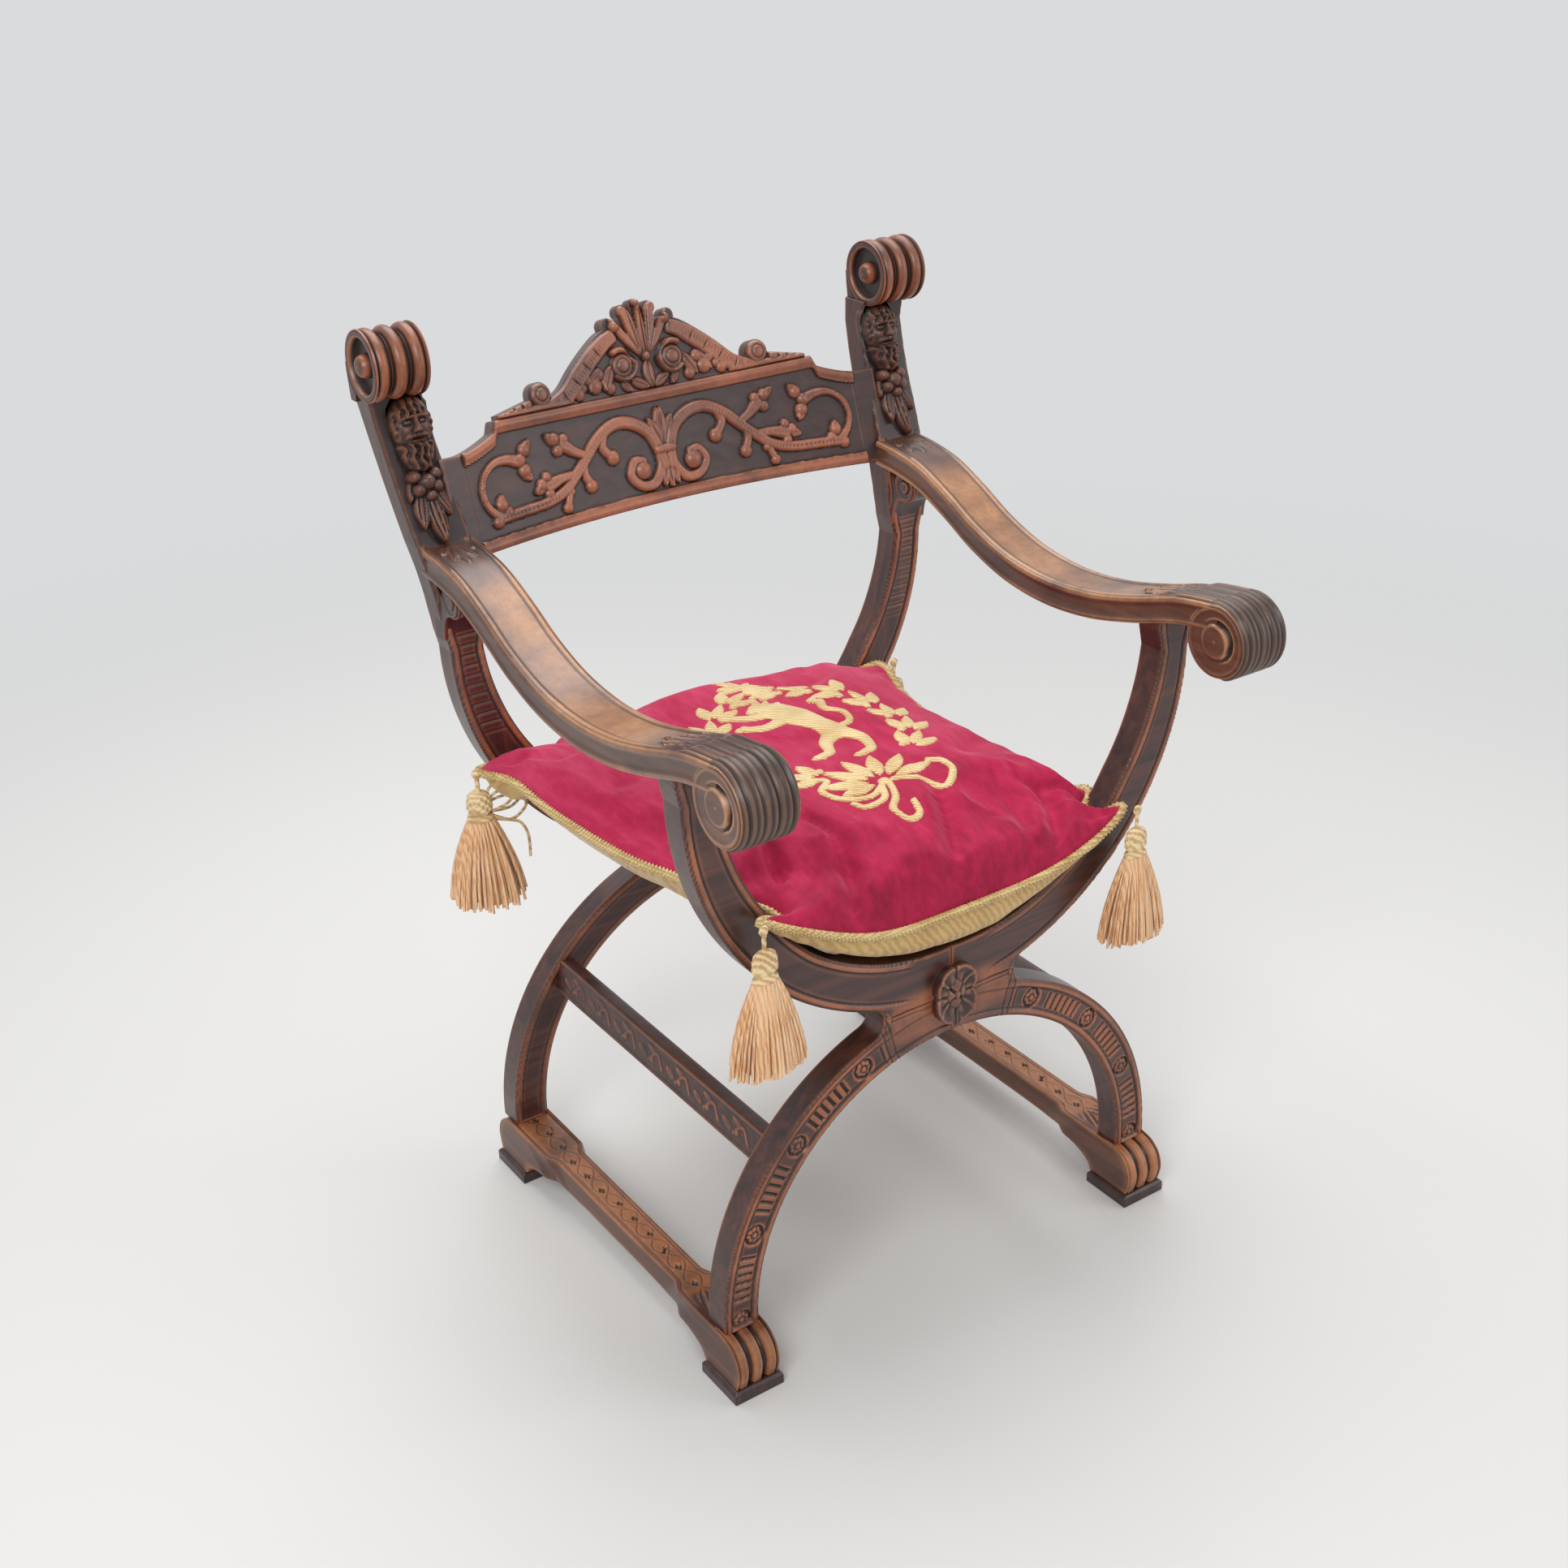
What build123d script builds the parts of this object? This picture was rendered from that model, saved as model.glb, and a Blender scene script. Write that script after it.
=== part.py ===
from build123d import *
import os
from math import atan2, cos, degrees, radians, sin, sqrt

# Carved walnut armchair of the fixed X-frame ("Savonarola") kind, with a loose tasselled cushion.
# Millimetres.  The origin is the middle of the footprint on the floor, +Z is up, the sitter faces
# -Y, and "right" is the +X side.  Every joint of the frame is a glued or dowelled wood joint.

os.makedirs("parts", exist_ok=True)

# ---------------------------------------------------------------- driving dimensions: the base
foot_centre_x = 252.5        # each leg, runner and pad is centred this far from the middle
base_depth = 488.0           # over the ends of the foot pads, front to back
pad_width = 56.0
pad_length = 61.0
pad_height = 14.0
pad_chamfer = 3.0
runner_top = 64.0
runner_block_width = 48.0    # the wide blocks under the legs
runner_waist_width = 33.0    # the narrow middle stretch
runner_waist_half = 118.0    # half length of the waist
runner_cove_length = 20.0    # the coved change from waist to block
runner_arch_rise = 37.0      # underside of the runner at mid length
toe_overhang = 1.0           # the toe's nose stands this far past the pad
toe_inset = 4.0              # the toe's foot stands this far inside the pad
toe_top_length = 26.0        # from the nose to where the toe meets the flat top
reed_depth = 3.0
reed_groove_width = 3.0
reed_count = 4

# ---------------------------------------------------------------- the two X frames
frame_thickness = 29.0
front_frame_setback = 27.0   # from the front ends of the pads to the front face of the front frame
back_frame_setback = 39.5    # from the back ends of the pads to the front face of the back frame
front_frame_y = -base_depth / 2 + front_frame_setback
back_frame_y = base_depth / 2 - back_frame_setback
leg_width = 39.0
arch_spring_z = 72.0         # centre of the semicircular leg arch
bowl_radius = 291.0          # outer edge of the upper bowl
bowl_centre_z = 637.0
seam_z = 347.0               # where the bowl sits on the leg arch
crotch_half = 80.0           # half width of the solid crossing
crotch_fillet = 9.0
leg_tenon_width = 20.0
leg_tenon_depth = 15.0
leg_tenon_length = 24.0
tenon_clearance = 0.2

# radial width of the bowl at angles from straight down (degrees): deep rail, slimmer upright
rail_angles = (0.0, 20.0, 40.0, 60.0, 75.0, 90.0)
rail_widths = (54.0, 49.0, 45.0, 46.0, 41.0, 35.0)
upright_top_outer_x = 299.0
upright_top_inner_x = 260.0

# ---------------------------------------------------------------- the back posts above the arms
post_outer_x = ((301.0, 705.0), (307.0, 745.0), (311.0, 800.0), (316.0, 860.0), (323.0, 905.0))
post_inner_x = ((251.5, 657.0), (248.5, 700.0), (249.5, 745.0), (255.0, 800.0), (261.0, 860.0), (267.0, 905.0))
lean_start_z = 665.0
lean_points = ((17.5, 740.0), (45.5, 800.0), (67.5, 860.0))   # how far the face has leaned back
scroll_axis_y = back_frame_y + 67.5
scroll_axis_z = 914.0
scroll_radius = 35.0
scroll_groove_width = 4.0
scroll_groove_depth = 3.0
scroll_dish_radius = 25.0
scroll_dish_depth = 3.0
scroll_boss_radius = 12.5
scroll_boss_proud = 5.0

# carved mask, fruit drop and leaf on the face of each post: (height, how far it stands proud)
mask_width = 40.0
mask_profile = ((872.0, 1.0), (864.0, 15.0), (848.0, 14.0), (836.0, 24.0), (830.0, 14.0),
                (818.0, 17.0), (800.0, 13.0), (790.0, 20.0), (774.0, 16.0), (760.0, 8.0), (744.0, 3.0))

# ---------------------------------------------------------------- arms and their brackets
arm_centre_x = 275.0
arm_width = 57.0
arm_thickness = 27.0
arm_rear_top = 742.0
arm_shoulder = (54.5, 12.0)  # ahead of the back frame and below the rear end of the arm
arm_fall = (144.5, 24.0)     # ahead of the back frame and above the dip
arm_dip_top = 665.0
arm_dip_y = front_frame_y + 160.0
arm_rise = (37.0, 19.0)      # behind the front frame and above the dip
arm_scroll_y = front_frame_y - 75.0
arm_scroll_z = 674.0
arm_scroll_radius = 36.0
arm_eye_radius = 13.0
arm_eye_proud = 2.5
arm_groove_inner = 15.5
arm_groove_outer = 20.5
arm_groove_depth = 4.0
arm_dowel_radius = 5.0
arm_dowel_length = 46.0
bracket_width = 46.0
bracket_volute_radius = 17.0
bracket_volute_y = back_frame_y - 21.5
bracket_volute_z = 699.0
bracket_tail_z = 652.0

# ---------------------------------------------------------------- back panel and crest
board_y = back_frame_y + 17.5   # face of the panel at its lower ends
board_z = 718.0
board_lean = 18.0            # degrees back from upright
panel_half_chord = 250.0
panel_sag = 26.0             # how far the middle of the panel is hollowed backwards
panel_thickness = 18.0
panel_height = 129.0
panel_top_half = 190.0       # half length of the straight top edge
panel_shoulder_drop = 26.0   # the coved ends drop this far
panel_shoulder_length = 52.0
panel_arch = 12.0            # rise of the lower edge at the middle
moulding_height = 10.0
moulding_proud = 5.0
crest_thickness = 14.0
crest_height = 86.0
crest_half = 184.0
crest_rake_foot = 116.0
crest_rake_top = 48.0
crest_rake_top_height = 62.0
crest_shell_radius = 38.0
crest_shell_height = 48.0
crest_volute_radius = 16.0
crest_volute_x = 29.0
crest_volute_height = 29.0
crest_end_volute_radius = 13.0
crest_end_volute_x = 131.0
crest_end_volute_height = 16.0
crest_relief = 5.0

# ---------------------------------------------------------------- stretchers, seat and rosette
stretcher_x = 197.5
stretcher_z = 234.0
stretcher_width = 20.0
stretcher_height = 33.0
stretcher_tilt = 17.0
stretcher_tenon = 18.0
stretcher_shoulder = 4.0
slat_count = 9
slat_pitch = 9.0             # degrees round the bowl from slat to slat
slat_gap = 4.0
slat_thickness = 10.0
slat_recess = 1.5            # the slats lie just below the edge of the rails
slat_end_gap = 0.5
cleat_depth = 20.0
cleat_thickness = 16.0
screw_head_radius = 3.5
screw_head_height = 2.5
screw_shank_radius = 2.0
screw_length = 18.0
rosette_width = 56.0
rosette_height = 76.0
rosette_thickness = 7.0
rosette_petals = 8
rosette_boss_radius = 11.0
rosette_boss_proud = 5.0

# ---------------------------------------------------------------- the loose cushion
cushion_gap = 0.5            # clearance between the cushion and the wood
cushion_crown = 522.0
cushion_back_y = back_frame_y + 27.5
lip_front_y = front_frame_y - 23.0
lip_seam_z = 455.0           # height of the front seam at the middle
# each corner as an angle from straight down and an inset from the outer edge of the bowl, left then right
front_corners = ((62.07, 28.4), (55.18, 38.8))
neck_corners = ((52.69, 58.4), (50.85, 55.0))
body_front_corners = ((62.3, 22.2), (56.0, 35.3))
body_middle_corners = ((63.26, 4.4), (57.58, 28.0))
body_back_corners = ((66.24, -19.3), (58.99, 25.0))
tassel_gap = 0.4             # between a corner of the cushion and the knot that hangs on it
tassel_knot_radius = 5.0
back_left_tassel_y = back_frame_y - 18.5
back_right_tassel_y = back_frame_y - 28.5
tassel_cord_length = 20.0
tassel_cord_radius = 2.5
tassel_head_radius = 12.0
tassel_neck_radius = 13.5
tassel_skirt_radius = 34.0
tassel_head_height = 34.0
tassel_head_shoulder = 9.0   # depth over which the head rounds out below the cord
tassel_skirt_height = 88.0
tassel_flatness = 0.56       # front and back tassels hang flat against the frame


# ---------------------------------------------------------------- shared geometry
def save(piece, name):
    """Label a finished piece and write it as its own STEP file."""
    piece.part.label = name
    export_step(piece.part, f"parts/{name}.step")


def save_pair(right_piece, name):
    """Write a right-hand piece and its mirror image on the left."""
    save(right_piece, name + "_right")
    with BuildPart() as left_piece:
        mirror(right_piece.part, about=Plane.YZ)
    save(left_piece, name + "_left")


def rail_width(angle):
    """Radial width of the bowl at an angle from straight down."""
    for low, high, narrow, wide in zip(rail_angles, rail_angles[1:], rail_widths, rail_widths[1:]):
        if angle <= high:
            return narrow + (wide - narrow) * (angle - low) / (high - low)
    return rail_widths[-1]


def bowl_point(angle, inset):
    """Point (x, z) of the bowl at an angle from straight down, inset from its outer edge."""
    radius = bowl_radius - inset
    return radius * sin(radians(angle)), bowl_centre_z - radius * cos(radians(angle))


def circle_height(x, radius, centre_z, sign):
    """Height of a circle's upper (+1) or lower (-1) half at x."""
    return centre_z + sign * sqrt(radius**2 - x**2)


def panel_depth(x):
    """How far back the face of the curved panel lies at x."""
    return panel_sag * (1 - (x / panel_half_chord) ** 2)


frame_back_plane = {
    "front": Plane.XZ.offset(-(front_frame_y + frame_thickness)),
    "back": Plane.XZ.offset(-(back_frame_y + frame_thickness)),
}
arch_inner = foot_centre_x - leg_width / 2
arch_outer = foot_centre_x + leg_width / 2
inner_edge = [bowl_point(angle, width) for angle, width in zip(rail_angles, rail_widths)]
board = Plane(origin=(0, board_y, board_z), x_dir=(1, 0, 0),
              z_dir=(0, -cos(radians(board_lean)), sin(radians(board_lean))))
board_plan = Plane(origin=(0, board_y, board_z), x_dir=(1, 0, 0),
                   z_dir=(0, sin(radians(board_lean)), cos(radians(board_lean))))

# side view of an arm: a swept S that ends in a volute at the front
with BuildSketch(Plane.YZ) as arm_side:
    arm_top_points = [
        (back_frame_y + frame_thickness, arm_rear_top),
        (back_frame_y - arm_shoulder[0], arm_rear_top - arm_shoulder[1]),
        (back_frame_y - arm_fall[0], arm_dip_top + arm_fall[1]),
        (arm_dip_y, arm_dip_top),
        (front_frame_y + arm_rise[0], arm_dip_top + arm_rise[1]),
        (arm_scroll_y, arm_scroll_z + arm_scroll_radius)]
    arm_under_points = [(y, z - arm_thickness) for y, z in arm_top_points[:-1]]
    arm_under_points.append((arm_scroll_y + arm_scroll_radius, arm_scroll_z + arm_scroll_radius / 6))
    with BuildLine():
        Spline(*arm_top_points, tangents=[(-1, 0), (-1, 0)])
        Line(arm_top_points[-1], (arm_scroll_y, arm_scroll_z))
        Line((arm_scroll_y, arm_scroll_z), arm_under_points[-1])
        Spline(*reversed(arm_under_points), tangents=[(1, -0.3), (1, 0)])
        Line(arm_under_points[0], arm_top_points[0])
    make_face()
    with Locations((arm_scroll_y, arm_scroll_z)):
        Circle(arm_scroll_radius)

# everything above an arm's underside, which trims the upright that carries the arm
upright_top_z = max(arm_scroll_z, arm_dip_top) + arm_thickness
with BuildSketch(Plane.YZ) as over_arm:
    trim_z = max(arm_rear_top, arm_scroll_z + arm_scroll_radius) + arm_thickness
    with BuildLine():
        Spline(*reversed(arm_under_points), tangents=[(1, -0.3), (1, 0)])
        Line(arm_under_points[0], (arm_under_points[0][0], trim_z))
        Line((arm_under_points[0][0], trim_z), (arm_under_points[-1][0], trim_z))
        Line((arm_under_points[-1][0], trim_z), arm_under_points[-1])
    make_face()

# side view of a back post: upright beside the seat, then leaning back to the scrolled top
with BuildSketch(Plane.YZ) as post_side:
    post_back_y = back_frame_y + frame_thickness
    face_points = [(back_frame_y, lean_start_z)]
    face_points += [(back_frame_y + lean, z) for lean, z in lean_points]
    rear_points = [(post_back_y, lean_start_z)]
    rear_points += [(post_back_y + lean, z) for lean, z in lean_points]
    rear_points.append((scroll_axis_y + scroll_radius, scroll_axis_z))
    with BuildLine():
        Line((back_frame_y, seam_z), face_points[0])
        Spline(*face_points, tangents=[(0, 1), (0.15, 1)])
        Line(face_points[-1], (scroll_axis_y, scroll_axis_z))
        Line((scroll_axis_y, scroll_axis_z), rear_points[-1])
        Spline(*reversed(rear_points), tangents=[(0, -1), (0, -1)])
        Line(rear_points[0], (post_back_y, seam_z))
        Line((post_back_y, seam_z), (back_frame_y, seam_z))
    make_face()
    with Locations((scroll_axis_y, scroll_axis_z)):
        Circle(scroll_radius)


def stretcher_section(inset, back_y):
    """Section of the right stretcher, or of its tenon when inset, drawn at back_y."""
    with BuildSketch(Plane.XZ.offset(-back_y)) as section:
        with Locations((stretcher_x, stretcher_z)):
            Rectangle(stretcher_width - 2 * inset, stretcher_height - 2 * inset, rotation=stretcher_tilt)
    return section.sketch


stretcher_front_y = front_frame_y + frame_thickness
stretcher_length = back_frame_y - stretcher_front_y

# ---------------------------------------------------------------- leg arches, a left and a right half
for end, face_y, tenon_start in (
    ("front", front_frame_y, stretcher_front_y - stretcher_tenon),
    ("back", back_frame_y, back_frame_y),
):
    with BuildPart() as leg:
        with BuildSketch(frame_back_plane[end]):
            shoulder_z = circle_height(crotch_half, arch_outer, arch_spring_z, 1)
            with BuildLine():
                Line((0, seam_z), (crotch_half, seam_z))
                Line((crotch_half, seam_z), (crotch_half, shoulder_z))
                arc_angle = degrees(atan2(shoulder_z - arch_spring_z, crotch_half))
                CenterArc((0, arch_spring_z), arch_outer, 0, arc_angle)
                Line((arch_outer, arch_spring_z), (arch_outer, runner_top))
                Line((arch_outer, runner_top), (arch_inner, runner_top))
                Line((arch_inner, runner_top), (arch_inner, arch_spring_z))
                CenterArc((0, arch_spring_z), arch_inner, 0, 90)
                Line((0, arch_spring_z + arch_inner), (0, seam_z))
            leg_face = make_face()
            crotch = leg_face.vertices().sort_by_distance((crotch_half, shoulder_z))
            fillet(crotch[0], radius=crotch_fillet)
        extrude(amount=frame_thickness)
        with BuildSketch(Plane.XY.offset(runner_top - leg_tenon_length)):
            with Locations((foot_centre_x, face_y + frame_thickness / 2)):
                Rectangle(leg_tenon_width, leg_tenon_depth)
        extrude(amount=leg_tenon_length)
        mortise_back = tenon_start + stretcher_tenon + tenon_clearance
        extrude(stretcher_section(stretcher_shoulder - tenon_clearance, mortise_back),
                amount=stretcher_tenon + 2 * tenon_clearance, mode=Mode.SUBTRACT)
    save_pair(leg, f"{end}_leg")

# ---------------------------------------------------------------- front bowl: rail and uprights
with BuildPart() as front_bowl:
    with BuildSketch(frame_back_plane["front"]):
        web_z = circle_height(crotch_half, bowl_radius, bowl_centre_z, -1)
        web_angle = degrees(atan2(web_z - bowl_centre_z, crotch_half))
        with BuildLine():
            Line((0, seam_z), (crotch_half, seam_z))
            Line((crotch_half, seam_z), (crotch_half, web_z))
            CenterArc((0, bowl_centre_z), bowl_radius, web_angle, -web_angle)
            Line((bowl_radius, bowl_centre_z), (upright_top_outer_x, upright_top_z))
            Line((upright_top_outer_x, upright_top_z), (upright_top_inner_x, upright_top_z))
            Spline((upright_top_inner_x, upright_top_z), *reversed(inner_edge), tangents=[(0, -1), (-1, 0)])
            Line(inner_edge[0], (0, seam_z))
        bowl_face = make_face()
        crotch = bowl_face.vertices().sort_by_distance((crotch_half, web_z))
        fillet(crotch[0], radius=crotch_fillet)
    extrude(amount=frame_thickness)
    extrude(over_arm.sketch, amount=arm_centre_x + arm_width, mode=Mode.SUBTRACT)
    with BuildSketch(Plane.XY.offset(arm_dip_top - arm_dowel_length / 2)):
        with Locations((arm_centre_x, front_frame_y + frame_thickness / 2)):
            Circle(arm_dowel_radius)
    extrude(amount=arm_dowel_length, mode=Mode.SUBTRACT)
save_pair(front_bowl, "front_bowl")

# ---------------------------------------------------------------- back bowl and posts
scroll_top_z = scroll_axis_z + scroll_radius + 1
post_front_y = scroll_axis_y + 2 * scroll_radius
with BuildSketch(Plane.XZ.offset(-post_front_y)) as post_front:
    with BuildLine():
        Line((0, seam_z), (crotch_half, seam_z))
        Line((crotch_half, seam_z), (crotch_half, web_z))
        CenterArc((0, bowl_centre_z), bowl_radius, web_angle, -web_angle)
        Spline((bowl_radius, bowl_centre_z), *post_outer_x, tangents=[(0, 1), (0, 1)])
        Line(post_outer_x[-1], (post_outer_x[-1][0], scroll_top_z))
        Line((post_outer_x[-1][0], scroll_top_z), (post_inner_x[-1][0], scroll_top_z))
        Line((post_inner_x[-1][0], scroll_top_z), post_inner_x[-1])
        Spline(*reversed(post_inner_x), *reversed(inner_edge[:-1]), tangents=[(0, -1), (-1, 0)])
        Line(inner_edge[0], (0, seam_z))
    post_face = make_face()
    crotch = post_face.vertices().sort_by_distance((crotch_half, web_z))
    fillet(crotch[0], radius=crotch_fillet)

with BuildPart() as back_post:
    extrude(post_front.sketch, amount=post_front_y - back_frame_y + 10)
    extrude(post_side.sketch, amount=arm_centre_x + 2 * arm_width, mode=Mode.INTERSECT)
    # the mask, fruit and leaf stand proud of the leaning face
    face_line = list(zip([z for _, z in face_points], [y for y, _ in face_points]))
    mask_points = []
    for height, proud in mask_profile:
        for (low_z, low_y), (high_z, high_y) in zip(face_line, face_line[1:]):
            if low_z <= height <= high_z or (high_z == face_line[-1][0] and height > high_z):
                share = (height - low_z) / (high_z - low_z)
                mask_points.append((low_y + (high_y - low_y) * share - proud, height))
                break
    mask_centre_x = (post_outer_x[2][0] + post_inner_x[3][0]) / 2
    with BuildSketch(Plane.YZ.offset(mask_centre_x - mask_width / 2)):
        with BuildLine():
            Polyline(*mask_points)
            Line(mask_points[-1], (mask_points[-1][0] + 12, mask_points[-1][1]))
            Line((mask_points[-1][0] + 12, mask_points[-1][1]), (mask_points[0][0] + 12, mask_points[0][1]))
            Line((mask_points[0][0] + 12, mask_points[0][1]), mask_points[0])
        make_face()
    extrude(amount=mask_width)
    # grooves that leave three reeds round the scroll
    scroll_width = post_outer_x[-1][0] - post_inner_x[-1][0]
    for share in (1, 2):
        groove_x = post_inner_x[-1][0] + share * scroll_width / 3 - scroll_groove_width / 2
        with BuildSketch(Plane.YZ.offset(groove_x)):
            with Locations((scroll_axis_y, scroll_axis_z)):
                Circle(scroll_radius + 1)
                Circle(scroll_radius - scroll_groove_depth, mode=Mode.SUBTRACT)
                Rectangle(2 * scroll_radius, 2 * scroll_radius, align=(Align.MIN, Align.MAX), mode=Mode.SUBTRACT)
        extrude(amount=scroll_groove_width, mode=Mode.SUBTRACT)
    # dished ends with a round boss
    for face_x, outward in ((post_outer_x[-1][0], 1), (post_inner_x[-1][0], -1)):
        with BuildSketch(Plane.YZ.offset(face_x)):
            with Locations((scroll_axis_y, scroll_axis_z)):
                Circle(scroll_dish_radius)
        extrude(amount=-outward * scroll_dish_depth, mode=Mode.SUBTRACT)
        with BuildSketch(Plane.YZ.offset(face_x - outward * scroll_dish_depth)):
            with Locations((scroll_axis_y, scroll_axis_z)):
                Circle(scroll_boss_radius)
        extrude(amount=outward * (scroll_dish_depth + scroll_boss_proud))
save_pair(back_post, "back_post")

# ---------------------------------------------------------------- arms
with BuildPart() as arm:
    extrude(arm_side.sketch.moved(Location((arm_centre_x - arm_width / 2, 0, 0))), amount=arm_width)
    extrude(post_side.sketch, amount=arm_centre_x + arm_width, mode=Mode.SUBTRACT)
    for outward in (1, -1):
        with BuildSketch(Plane.YZ.offset(arm_centre_x + outward * arm_width / 2)):
            with Locations((arm_scroll_y, arm_scroll_z)):
                Circle(arm_groove_outer)
                Circle(arm_groove_inner, mode=Mode.SUBTRACT)
        extrude(amount=-outward * arm_groove_depth, mode=Mode.SUBTRACT)
        with BuildSketch(Plane.YZ.offset(arm_centre_x + outward * arm_width / 2)):
            with Locations((arm_scroll_y, arm_scroll_z)):
                Circle(arm_eye_radius)
        extrude(amount=outward * arm_eye_proud)
    with BuildSketch(Plane.XY.offset(arm_dip_top - arm_dowel_length / 2)):
        with Locations((arm_centre_x, front_frame_y + frame_thickness / 2)):
            Circle(arm_dowel_radius)
    extrude(amount=arm_dowel_length, mode=Mode.SUBTRACT)
save_pair(arm, "arm")

with BuildPart() as arm_dowel:
    for side in (-1, 1):
        with BuildSketch(Plane.XY.offset(arm_dip_top - arm_dowel_length / 2)):
            with Locations((side * arm_centre_x, front_frame_y + frame_thickness / 2)):
                Circle(arm_dowel_radius)
        extrude(amount=arm_dowel_length)
save(arm_dowel, "arm_dowels")

# scrolled bracket between each arm's rear end and its post
with BuildPart() as bracket:
    with BuildSketch(Plane.YZ.offset(arm_centre_x - bracket_width / 2)):
        with BuildLine():
            low = (bracket_volute_y, bracket_volute_z - bracket_volute_radius)
            foot = (back_frame_y + 4, bracket_tail_z)
            Line((bracket_volute_y, arm_rear_top - arm_thickness), (back_frame_y + 20, arm_rear_top - arm_thickness))
            Line((back_frame_y + 20, arm_rear_top - arm_thickness), (back_frame_y + 20, bracket_tail_z))
            Line((back_frame_y + 20, bracket_tail_z), foot)
            Spline(foot, low, tangents=[(-0.2, 1), (-1, 0.2)])
            Line(low, (bracket_volute_y, arm_rear_top - arm_thickness))
        make_face()
        with Locations((bracket_volute_y, bracket_volute_z)):
            Circle(bracket_volute_radius)
    extrude(amount=bracket_width)
    extrude(arm_side.sketch, amount=arm_centre_x + arm_width, mode=Mode.SUBTRACT)
    extrude(post_side.sketch, amount=arm_centre_x + arm_width, mode=Mode.SUBTRACT)
save_pair(bracket, "arm_bracket")


# ---------------------------------------------------------------- curved back panel and crest
def curved_section(proud, thickness, low):
    """Cross-section of a slab that follows the panel's curve, at a height up the leaning board."""
    reach = panel_half_chord + 20
    with BuildSketch(board_plan.offset(low)) as section:
        with BuildLine():
            ThreePointArc((-reach, panel_depth(reach) - proud), (0, panel_sag - proud),
                          (reach, panel_depth(reach) - proud))
            ThreePointArc((-reach, panel_depth(reach) + thickness), (0, panel_sag + thickness),
                          (reach, panel_depth(reach) + thickness))
            Line((-reach, panel_depth(reach) - proud), (-reach, panel_depth(reach) + thickness))
            Line((reach, panel_depth(reach) - proud), (reach, panel_depth(reach) + thickness))
        make_face()
    return section.sketch


def panel_outline(inset):
    """Outline of the panel on its board, with straight top, coved ends and arched lower edge."""
    end_x = panel_half_chord + 20
    top_h = panel_height - inset
    top_x = panel_top_half - inset
    shoulder_h = panel_height - panel_shoulder_drop - inset
    shoulder_x = panel_top_half + panel_shoulder_length - inset
    with BuildSketch(Plane.XY) as outline:
        with BuildLine():
            ThreePointArc((-end_x, inset), (0, panel_arch + inset), (end_x, inset))
            Line((end_x, inset), (end_x, shoulder_h))
            Line((end_x, shoulder_h), (shoulder_x, shoulder_h))
            Spline((shoulder_x, shoulder_h), (top_x, top_h), tangents=[(-1, 0), (-0.5, 1)])
            Line((top_x, top_h), (-top_x, top_h))
            Spline((-top_x, top_h), (-shoulder_x, shoulder_h), tangents=[(-0.5, -1), (-1, 0)])
            Line((-shoulder_x, shoulder_h), (-end_x, shoulder_h))
            Line((-end_x, shoulder_h), (-end_x, inset))
        make_face()
    return outline.sketch


# the sunk field of the carving, inside its raised mouldings
through = 3 * panel_sag
with BuildPart() as field:
    extrude(curved_section(2 * moulding_proud, 0, -1), amount=panel_height + 2)
    extrude(board.offset(-through) * panel_outline(moulding_height), amount=2 * through, mode=Mode.INTERSECT)

with BuildPart() as back_panel:
    extrude(curved_section(moulding_proud, panel_thickness, -1), amount=panel_height + 2)
    extrude(board.offset(-through) * panel_outline(0), amount=2 * through, mode=Mode.INTERSECT)
    add(field.part, mode=Mode.SUBTRACT)
    extrude(post_front.sketch, amount=post_front_y, mode=Mode.SUBTRACT)
    extrude(mirror(post_front.sketch, about=Plane.YZ, mode=Mode.PRIVATE), amount=post_front_y, dir=(0, -1, 0),
            mode=Mode.SUBTRACT)
save(back_panel, "back_panel")

with BuildSketch(Plane.XY) as crest_outline:
    base_h = panel_height
    with BuildLine():
        Line((-crest_rake_foot, base_h), (crest_rake_foot, base_h))
        for side in (-1, 1):
            foot = (side * crest_rake_foot, base_h)
            knee = (side * (crest_rake_foot + crest_rake_top) / 2, base_h + crest_rake_top_height * 0.46)
            ThreePointArc(foot, knee, (side * crest_rake_top, base_h + crest_rake_top_height))
        Line((-crest_rake_top, base_h + crest_rake_top_height), (crest_rake_top, base_h + crest_rake_top_height))
    make_face()
    with Locations((0, base_h + crest_shell_height)):
        Circle(crest_shell_radius)
    with Locations((0, base_h + crest_height)):
        Circle(crest_relief)
    for side in (-1, 1):
        with Locations((side * crest_end_volute_x, base_h + crest_end_volute_height)):
            Circle(crest_end_volute_radius)
        with BuildLine():
            Polyline((side * (crest_rake_foot - 8), base_h), (side * crest_half, base_h),
                     (side * crest_end_volute_x, base_h + crest_end_volute_height),
                     (side * (crest_rake_foot - 8), base_h + 8), close=True)
        make_face()
    with Locations((0, base_h - panel_height)):
        Rectangle(2 * panel_half_chord, 2 * panel_height, mode=Mode.SUBTRACT)

with BuildSketch(Plane.XY) as crest_relief_outline:
    for side in (-1, 1):
        with Locations((side * crest_volute_x, base_h + crest_volute_height)):
            Circle(crest_volute_radius)
        with Locations((side * crest_end_volute_x, base_h + crest_end_volute_height)):
            Circle(crest_end_volute_radius - 1)

with BuildPart() as crest_carving:
    extrude(curved_section(crest_relief, crest_thickness, base_h), amount=crest_height + 2 * crest_relief)
    extrude(board.offset(-through) * crest_relief_outline.sketch, amount=2 * through, mode=Mode.INTERSECT)

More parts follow.
